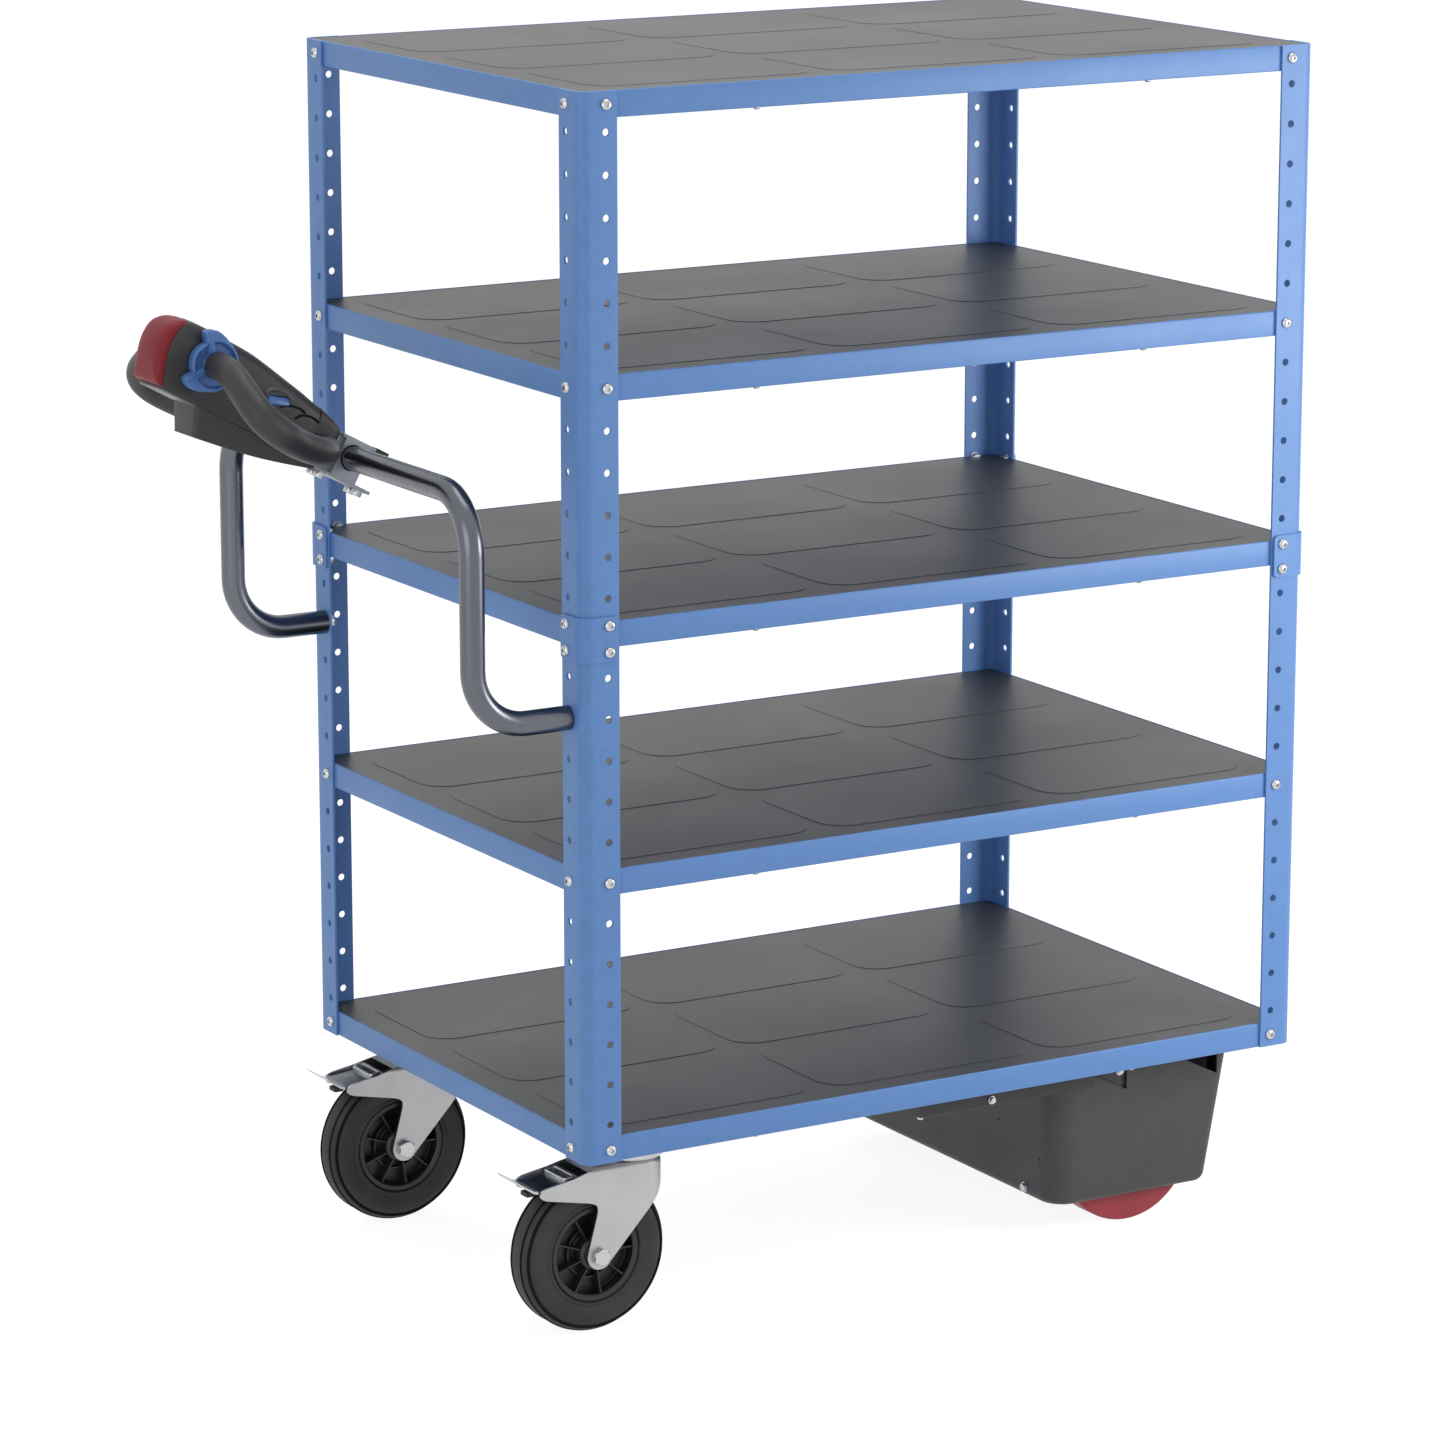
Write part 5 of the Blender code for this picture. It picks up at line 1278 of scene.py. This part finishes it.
def add_wheel(name, body, axle):
    seat = RIM_RADIUS + FIT
    depth = WHEEL_RADIUS - seat
    half = TYRE_WIDTH / 2
    side = [(seat + depth * a, half * b) for a, b in TYRE_SHARES]
    profile = [(r, -w) for r, w in side] + [(r, w) for r, w in reversed(side[:-1])]
    # Near-black beads paint the shade in the tyre's grooves; the tyre's own profile holds the real grooves
    groove_shades = bmesh.new()
    for share, place, radius in TYRE_GROOVES:
        for way in (-1, 1):
            centre = (seat + depth * share, way * half * place)
            bead = [(centre[0] + a, centre[1] + b) for a, b in arc((0, 0), radius, 0, 330, 11)]
            skin(groove_shades, turned(axle, bead), closed=True)
    make(f"{name}_tyre_grooves", groove_shades, TYRE_GROOVE_SHADE, body, sharp=60.0)
    make(f"{name}_tyre_rubber", solid(turned(axle, profile), closed=True), TYRE, body, f"{name}_tyre",
         sharp=38.0)

    # The rim's half section from its bore over hub, web and a low ring to the tyre's seat, with
    # small steps that round its edges: radius and half width
    hub = HUB_WIDTH / 2
    web = WEB_THICKNESS / 2
    rim = RIM_WIDTH / 2
    inside = RIM_RADIUS - RIM_WALL
    side = [
        (AXLE_RADIUS + RUNNING_FIT, hub), (HUB_RADIUS - 0.006, hub), (HUB_RADIUS - 0.005, hub - 0.001),
        (HUB_RADIUS - 0.0035, rim + 0.001), (HUB_RADIUS, rim - 0.001), (HUB_RADIUS + 0.001, rim - 0.003),
        (HUB_RADIUS + 0.002, web + 0.001), (HUB_RADIUS + 0.003, web), (HUB_RADIUS + 0.011, web),
        (HUB_RADIUS + 0.0115, web + 0.006), (HUB_RADIUS + 0.0135, web + 0.006), (HUB_RADIUS + 0.014, web),
        (inside - 0.001, web), (inside, web + 0.001), (inside, rim - 0.0015), (inside + 0.0015, rim),
        (RIM_RADIUS - 0.001, rim), (RIM_RADIUS, rim - 0.001),
    ]
    bm = solid(turned(axle, side + [(r, -w) for r, w in reversed(side)]), closed=True)
    for angle in angles(RIB_COUNT):
        along = Vector((math.cos(angle), 0, math.sin(angle)))
        over = Vector((-math.sin(angle), 0, math.cos(angle)))
        rings = []
        for r, high, thick in (
            (HUB_RADIUS - 0.002, rim - 0.002, 0.0015), (inside - 0.010, rim - 0.004, 0.0013),
            (inside + 0.002, rim - 0.003, 0.0016),
        ):
            middle = Vector(axle) + along * r
            rings.append([middle + over * (a * thick * share) + Vector((0, b * high, 0))
                          for a, b, share in RIB_CORNERS])
        skin(bm, rings)
    make(f"{name}_rim_wheel", bm, RIM, body, f"{name}_rim", sharp=34.0)


def add_castor_top(name, kingpin):
    """The plate and its swivel's two rounded race rings."""
    x, y, low = kingpin
    low += FIT
    deep = BOTTOM - low
    profile = [(RACE_NECK_RADIUS, low)]
    for middle, half in RACE_RINGS:
        height = deep * half
        profile += [(RACE_RADIUS - height * RACE_ROUND_SHARE * (1 - a), low + deep * middle + height * b)
                    for a, b in arc((0, 0), 1, -90, 90, 8)]
    profile.append((RACE_NECK_RADIUS, BOTTOM - TOP_PLATE_SHEET / 2))
    race = solid([circle((x, y, z), r, 64) for r, z in profile])
    make(f"{name}_race", race, BRIGHT, node=f"{name}_plate", sharp=50.0)
    outline = rounded_block((x, y), TOP_PLATE_LENGTH / 2, TOP_PLATE_WIDTH / 2, TOP_PLATE_CORNER)
    make(f"{name}_mount", solid(upright(outline, BOTTOM - TOP_PLATE_SHEET, BOTTOM)), ZINC, bevel=SOFT_EDGE)
    reach_x = TOP_PLATE_LENGTH / 2 - TOP_PLATE_BOLT_INSET
    reach_y = TOP_PLATE_WIDTH / 2 - TOP_PLATE_BOLT_INSET
    places = [((x + a * reach_x, y + b * reach_y, BOTTOM - TOP_PLATE_SHEET), (0, 0, -1))
              for a in (-1, 1) for b in (-1, 1)]
    add_fasteners(f"{name}_bolts", hex_head(*PLATE_BOLT_HEAD), places)


def add_pedal(name, body, axle):
    """A brake pedal: sloping sheet, raised frame round a window and a thin lip."""
    x, y, z = axle
    pivot = Vector((x - PEDAL_PIVOT, z + PEDAL_HEIGHT))
    nose = Vector((x - FORK_NOSE, z + PEDAL_HEIGHT - PEDAL_SLOPE))
    tip = nose + Vector((-PEDAL_LIP_LENGTH, PEDAL_LIP_RISE))
    # Both outlines step round the nose by small lengths
    outline = [nose + Vector((-0.001, 0.0004)), nose + Vector((0.006, 0.0010)), pivot,
               pivot + Vector((0, -PEDAL_SHEET)), nose + Vector((0.006, 0.0010 - PEDAL_SHEET)),
               nose + Vector((-0.001, -PEDAL_SHEET))]
    lip = [tip, nose + Vector((-0.007, 0.0022)), nose + Vector((-0.0012, 0.0006)),
           nose + Vector((-0.0012, -PEDAL_SHEET)), nose + Vector((-0.008, 0.0022 - PEDAL_SHEET)),
           tip + Vector((0.0014, -0.0034))]
    half = FORK_INSIDE / 2 - RUNNING_FIT
    sheet = solid(across(outline, y - half, y + half))
    lever = solid(across(lip, y - half, y + half))

    slope = (nose - pivot).normalized()
    middle = pivot.lerp(nose, WINDOW_SHARE)
    tilted = Matrix.Translation((middle.x, y, middle.y)) @ Matrix((
        (-slope.x, 0, -slope.y, 0), (0, 1, 0, 0), (-slope.y, 0, -slope.x, 0), (0, 0, 0, 1),
    ))

    def window(grow, *heights):
        return upright(rounded_block((0, 0), PEDAL_WINDOW_LENGTH / 2 + grow, PEDAL_WINDOW_WIDTH / 2 + grow,
                                     WINDOW_CORNER + grow), *heights)

    sheet = carve(sheet, skin(bmesh.new(), window(0.0, -OVERRUN, OVERRUN), matrix=tilted))
    shoulder = FRAME_HIGH - FRAME_ROUND
    rings = (window(FRAME_BAR, -FRAME_SUNK, shoulder) + window(FRAME_BAR - FRAME_ROUND, FRAME_HIGH)
             + window(FRAME_ROUND, FRAME_HIGH) + window(0.0, shoulder, -FRAME_SUNK))
    skin(lever, rings, closed=True, matrix=tilted)
    make(f"{name}_pedal_lever", lever, ZINC, body, bevel=0.0005, sharp=30.0)
    make(f"{name}_pedal_sheet", sheet, PEDAL_STEEL, body, f"{name}_brake_pedal", bevel=0.0005, sharp=30.0)
    back, front, near, far, corner, low, high = STOP_SIZES
    outline = rounded_rectangle(nose.x - back, nose.x + front, y - near, y + far, corner)
    stop = solid(upright(outline, nose.y - PEDAL_SHEET - low, nose.y - PEDAL_SHEET - high))
    make(f"{name}_pedal_stop", stop, TYRE, body, bevel=0.0015)


def add_castors():
    for (_, label), y in zip(SIDES, both(KINGPIN_SIDE)):
        name = f"castor_{label}"
        axle = (KINGPIN_INSET - CASTOR_TRAIL, y, WHEEL_RADIUS)
        add_castor_top(name, (KINGPIN_INSET, y, WHEEL_RADIUS + FORK_CROWN))
        add_fork(name, f"{label}_castor", axle)
        add_wheel(name, f"{label}_castor_wheel", axle)
        add_pedal(name, f"{label}_brake", axle)


# Drive unit

def casing_rings(z, inset):
    rise = (z - CASING_BOTTOM) / (CASING_TOP - CASING_BOTTOM)
    return upright(rounded_rectangle(
        DRIVE_X - CASING_FRONT + inset, DRIVE_X + CASING_BACK + CASING_DRAFT * rise - inset,
        CASING_SIDE + inset, WIDTH - CASING_SIDE - inset,
        (CASING_BACK_CORNER - inset,) * 2 + (CASING_CORNER - inset,) * 2, 14), z)


def casing_cuts():
    """What is cut from the casing: wheel slots in its floor, notches in its sides, small dots."""
    half_width = DRIVE_TYRE_WIDTH / 2 + WHEEL_SLOT_GAP
    drop = DRIVE_WHEEL_RADIUS - CASING_BOTTOM - CASING_EDGE
    half_length = math.sqrt(DRIVE_WHEEL_RADIUS ** 2 - drop ** 2) + WHEEL_SLOT_GAP
    cuts = [upright(rounded_block((DRIVE_X, y), half_length, half_width, WHEEL_SLOT_GAP),
                    CASING_BOTTOM - OVERRUN, CASING_BOTTOM + CASING_EDGE) for y in both(DRIVE_SIDE)]
    for y0, y1 in ((CASING_SIDE - OVERRUN, CASING_SIDE + CASING_WALL + FIT),
                   (WIDTH - CASING_SIDE - CASING_WALL - FIT, WIDTH - CASING_SIDE + OVERRUN)):
        for tall_side in (DRIVE_X - NOTCH_FRONT, DRIVE_X + NOTCH_BACK - CASING_BACK_CORNER):
            outline = [(tall_side, NOTCH_TOP), (tall_side, NOTCH_TOP - NOTCH_HEIGHT),
                       (tall_side - NOTCH_LENGTH, NOTCH_TOP)]
            cuts.append(across(soften(outline, 0.002), y0, y1))
    for y, z in CASING_DOTS:
        for face_y in both(y):
            cuts.append([circle((DRIVE_X - CASING_FRONT + depth, face_y, z), DOT_RADIUS, 16, "X")
                         for depth in (-OVERRUN, CASING_WALL / 2)])
    return group(cuts)


def add_casing():
    rings = []
    for inward, z in arc((CASING_EDGE, CASING_BOTTOM + CASING_EDGE), CASING_EDGE, 270, 180, 10):
        rings += casing_rings(z, inward)
    for z, inward in ((CASING_TOP, 0), (CASING_TOP, CASING_WALL), (CASING_BOTTOM + CASING_EDGE, CASING_WALL),
                      (CASING_BOTTOM + CASING_WALL, CASING_EDGE)):
        rings += casing_rings(z, inward)
    make("drive_casing_shell", carve(solid(rings), casing_cuts()), CASING, node="drive_casing")
    low = CASING_BOTTOM + CASING_EDGE + 0.001
    places = [((DRIVE_X - CASING_FRONT, y, low), (-1, 0, 0)) for y in both(CASING_SCREW_SIDE)]
    add_fasteners("casing_screws", hex_head(*CASING_SCREW_HEAD), places)
    deep = CASING_SIDE + NOTCH_BOLT_DEEP
    places = [((DRIVE_X - NOTCH_FRONT - NOTCH_BOLT_BACK, y, NOTCH_TOP - NOTCH_BOLT_DROP), (0, way, 0))
              for (way, _), y in zip(SIDES, both(deep))]
    add_fasteners("casing_notch_bolts", hex_head(*NOTCH_BOLT_HEAD), places)
    near, far = (CASING_SIDE + CASING_WALL, WIDTH - CASING_SIDE - CASING_WALL)
    # Linings close the notches from inside; the rear one is a near-black sheet, a painted shade in the rear
    # pockets
    for name, x0, x1, look in (
        ("front", DRIVE_X - CASING_FRONT + CASING_CORNER, DRIVE_X, CASING),
        ("rear", DRIVE_X + 0.002, DRIVE_X + CASING_BACK, CASING_SHADOW),
    ):
        lining = [upright(rectangle(x0, x1, y0, y1), NOTCH_TOP - 2 * NOTCH_HEIGHT, CASING_TOP - CASING_WALL)
                  for y0, y1 in ((near + LINING_NEAR_FACE, near + LINING_FAR_FACE),
                                 (far - LINING_FAR_FACE, far - LINING_NEAR_FACE))]
        make(f"casing_{name}_lining", group(lining), look)


def add_drive_wheels():
    half = DRIVE_TYRE_WIDTH / 2
    seat = DRIVE_WHEEL_RADIUS - DRIVE_TYRE_DEPTH
    edge = DRIVE_TYRE_EDGE
    web = DRIVE_HUB_WEB / 2
    rim = seat - FIT
    lip = rim - RIM_WALL
    tread = [(seat, -half), (DRIVE_WHEEL_RADIUS - 0.010, -half)]
    tread += [(r, w) for w, r in arc((edge - half, DRIVE_WHEEL_RADIUS - edge), edge, 180, 90, 6)]
    tread += [(r, -w) for r, w in reversed(tread)]
    # The hub from its shaft's outer end over web, rim and web to the motor, with small steps that
    # round its edges: radius and depth inwards
    hub = ((0.009, -web - 0.004), (0.011, -web - 0.003), (0.013, -web), (DRIVE_HUB_BOSS, -web),
           (DRIVE_HUB_BOSS + 0.002, -web + 0.002), (lip - 0.003, -web + 0.002), (lip - 0.001, -web),
           (lip, -half), (rim - 0.0005, -half), (rim, -half + 0.0005), (rim, half), (lip, half), (lip, web),
           (DRIVE_SHAFT_RADIUS, web), (DRIVE_SHAFT_RADIUS, half + MOTOR_GAP - FIT))
    for (way, label), y in zip(SIDES, both(DRIVE_SIDE)):
        body = f"{label}_drive_wheel"
        make(f"drive_{label}_tread", solid(turned((DRIVE_X, y, DRIVE_WHEEL_RADIUS), tread), closed=True),
             TREAD_RED, body, f"drive_{label}_tyre", sharp=40.0)
        rings = [circle((DRIVE_X, y - way * depth, DRIVE_WHEEL_RADIUS), radius, HUB_SIDES, "Y")
                 for radius, depth in hub]
        make(f"drive_{label}_hub_wheel", solid(rings), MOTOR, body, f"drive_{label}_hub", sharp=34.0)


def add_drive_arms():
    """The two steel arms, each with its bolts and the screws near it."""
    front, rear = (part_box("drive_arm_near")[i].x - CORNER.x for i in (0, 1))
    top = BOTTOM - FIT
    low = top - ARM_HEIGHT
    for (out, label), y in zip(SIDES, (ARM_SIDE, WIDTH - ARM_SIDE - ARM_WIDTH)):
        name = f"drive_arm_{label}"
        outline = soften(rectangle(y, y + ARM_WIDTH, low, top), 0.002, 3)
        rings = [[(x, p, q) for p, q in outline] for x in (front, rear)]
        make(f"{name}_bar", solid(rings), DARK_STEEL, node=name, bevel=0.0005)
        face = y if out < 0 else y + ARM_WIDTH
        places = [((ARM_BOLT[0], face, ARM_BOLT[1]), (0, out, 0)),
                  ((front + ARM_END_BOLT, y + ARM_WIDTH / 2, low), (0, 0, -1)),
                  ((SMALL_BOLT, face + out * -0.006, top), (0, 0, -1))]
        add_fasteners(f"{name}_bolts", hex_head(*ARM_BOLT_HEAD), places)


def dress_nodes():
    """Materials for the CAD nodes that stay as they are."""
    for name, look in (
        ("castor_rail", DARK_STEEL), ("drive_rail_front", DARK_STEEL), ("drive_rail_rear", DARK_STEEL),
        ("drive_plate", DARK_STEEL), ("drive_near_motor", MOTOR), ("drive_far_motor", MOTOR),
        ("battery", BATTERY),
    ):
        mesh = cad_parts[name].data
        mesh.materials.clear()
        mesh.materials.append(look[1])


add_frame()
add_handle()
add_head_body()
add_head_base()
add_rockers()
add_throttle()
add_guard_loop()
add_clamp()
add_castors()
add_casing()
add_drive_wheels()
add_drive_arms()
dress_nodes()


# Stage, light and camera

CAMERA_PLACE = (-3.11752, -5.55500, 2.25538)
CAMERA_TURN = 1.03356
CAMERA_PITCH = 0.22634
CAMERA_FOCUS_PIXELS = 5540.01
PHOTO_PIXELS = 1445
SENSOR_MM = 36.0
FLOOR_SIZE = 60.0
WORLD_STRENGTH = 0.50
WHITE = (1, 1, 1, 1)
# Each lamp: place, aim, size and power
LAMPS = {
    "key": ((1.90, -1.20, 1.10), (0.7, 0.3, 0.85), 1.0, 18.5),
    "fill": ((-3.2, -1.6, 1.6), (0.2, 0.3, 0.7), 2.6, 22.0),
    "top": ((0.6, 0.2, 3.8), (0.5, 0.3, 0.8), 2.2, 25.0),
    "rear": ((1.2, 3.4, 2.6), (0.5, 0.4, 0.9), 2.4, 32.0),
}


def in_frame(x, y, z):
    return Vector((CORNER.x + x, CORNER.y + y, z))


def add_camera():
    camera = bpy.data.cameras.new("camera")
    camera.sensor_width = SENSOR_MM
    camera.lens = CAMERA_FOCUS_PIXELS / PHOTO_PIXELS * SENSOR_MM
    camera.clip_end = FLOOR_SIZE * 2
    obj = bpy.data.objects.new("camera", camera)
    obj.location = in_frame(*CAMERA_PLACE)
    level = math.cos(CAMERA_PITCH)
    look = Vector((math.cos(CAMERA_TURN) * level, math.sin(CAMERA_TURN) * level, -math.sin(CAMERA_PITCH)))
    obj.rotation_euler = look.to_track_quat("-Z", "Y").to_euler()
    bpy.context.scene.collection.objects.link(obj)
    bpy.context.scene.camera = obj


def split_by_ray(tree, lit, shown, output):
    """One shader for light, another for rays that show the background, straight or in a gloss or glass."""
    path = add_node(tree, "LightPath", {})
    seen = path.outputs["Is Camera Ray"]
    for label in ("Is Glossy Ray", "Is Transmission Ray"):
        seen = add_node(tree, "Math", {0: seen, 1: path.outputs[label]}, operation="MAXIMUM").outputs["Value"]
    mix = add_node(tree, "MixShader", {"Fac": seen, 1: lit.outputs[0], 2: shown.outputs[0]})
    tree.links.new(mix.outputs["Shader"], output.inputs["Surface"])


def add_floor():
    """A floor that takes shadows and shows as white."""
    half = FLOOR_SIZE / 2
    bm = bmesh.new()
    bm.faces.new([bm.verts.new((x, y, 0)) for x, y in rectangle(-half, half, -half, half)])
    floor = to_object("floor", bm)
    material = bpy.data.materials.new("floor_white")
    material.use_nodes = True
    tree = material.node_tree
    plain = tree.nodes["Principled BSDF"]
    plain.inputs["Base Color"].default_value = (0.80, 0.80, 0.80, 1)
    plain.inputs["Roughness"].default_value = 0.9
    shown = add_node(tree, "BsdfPrincipled", {
        "Base Color": (0.30, 0.30, 0.30, 1), "Roughness": 1.0, "Specular IOR Level": 0.0,
        "Emission Color": WHITE, "Emission Strength": 0.90,
    })
    split_by_ray(tree, plain, shown, tree.nodes["Material Output"])
    floor.data.materials.append(material)


def add_world():
    world = bpy.data.worlds.new("studio")
    bpy.context.scene.world = world
    world.use_nodes = True
    tree = world.node_tree
    tree.nodes.clear()
    lit, white = (add_node(tree, "Background", {"Color": WHITE, "Strength": strength})
                  for strength in (WORLD_STRENGTH, 1.0))
    split_by_ray(tree, lit, white, add_node(tree, "OutputWorld", {}))


def add_lamps():
    for name, (where, aim, size, power) in LAMPS.items():
        light = bpy.data.lights.new(name, "AREA")
        light.shape = "DISK"
        light.size = size
        light.energy = power
        obj = bpy.data.objects.new(name, light)
        obj.visible_camera = False
        obj.visible_glossy = name != "rear"
        obj.location = in_frame(*where)
        obj.rotation_euler = (in_frame(*aim) - obj.location).to_track_quat("-Z", "Y").to_euler()
        bpy.context.scene.collection.objects.link(obj)


add_camera()
add_floor()
add_world()
add_lamps()
bpy.context.scene.view_settings.view_transform = "Standard"
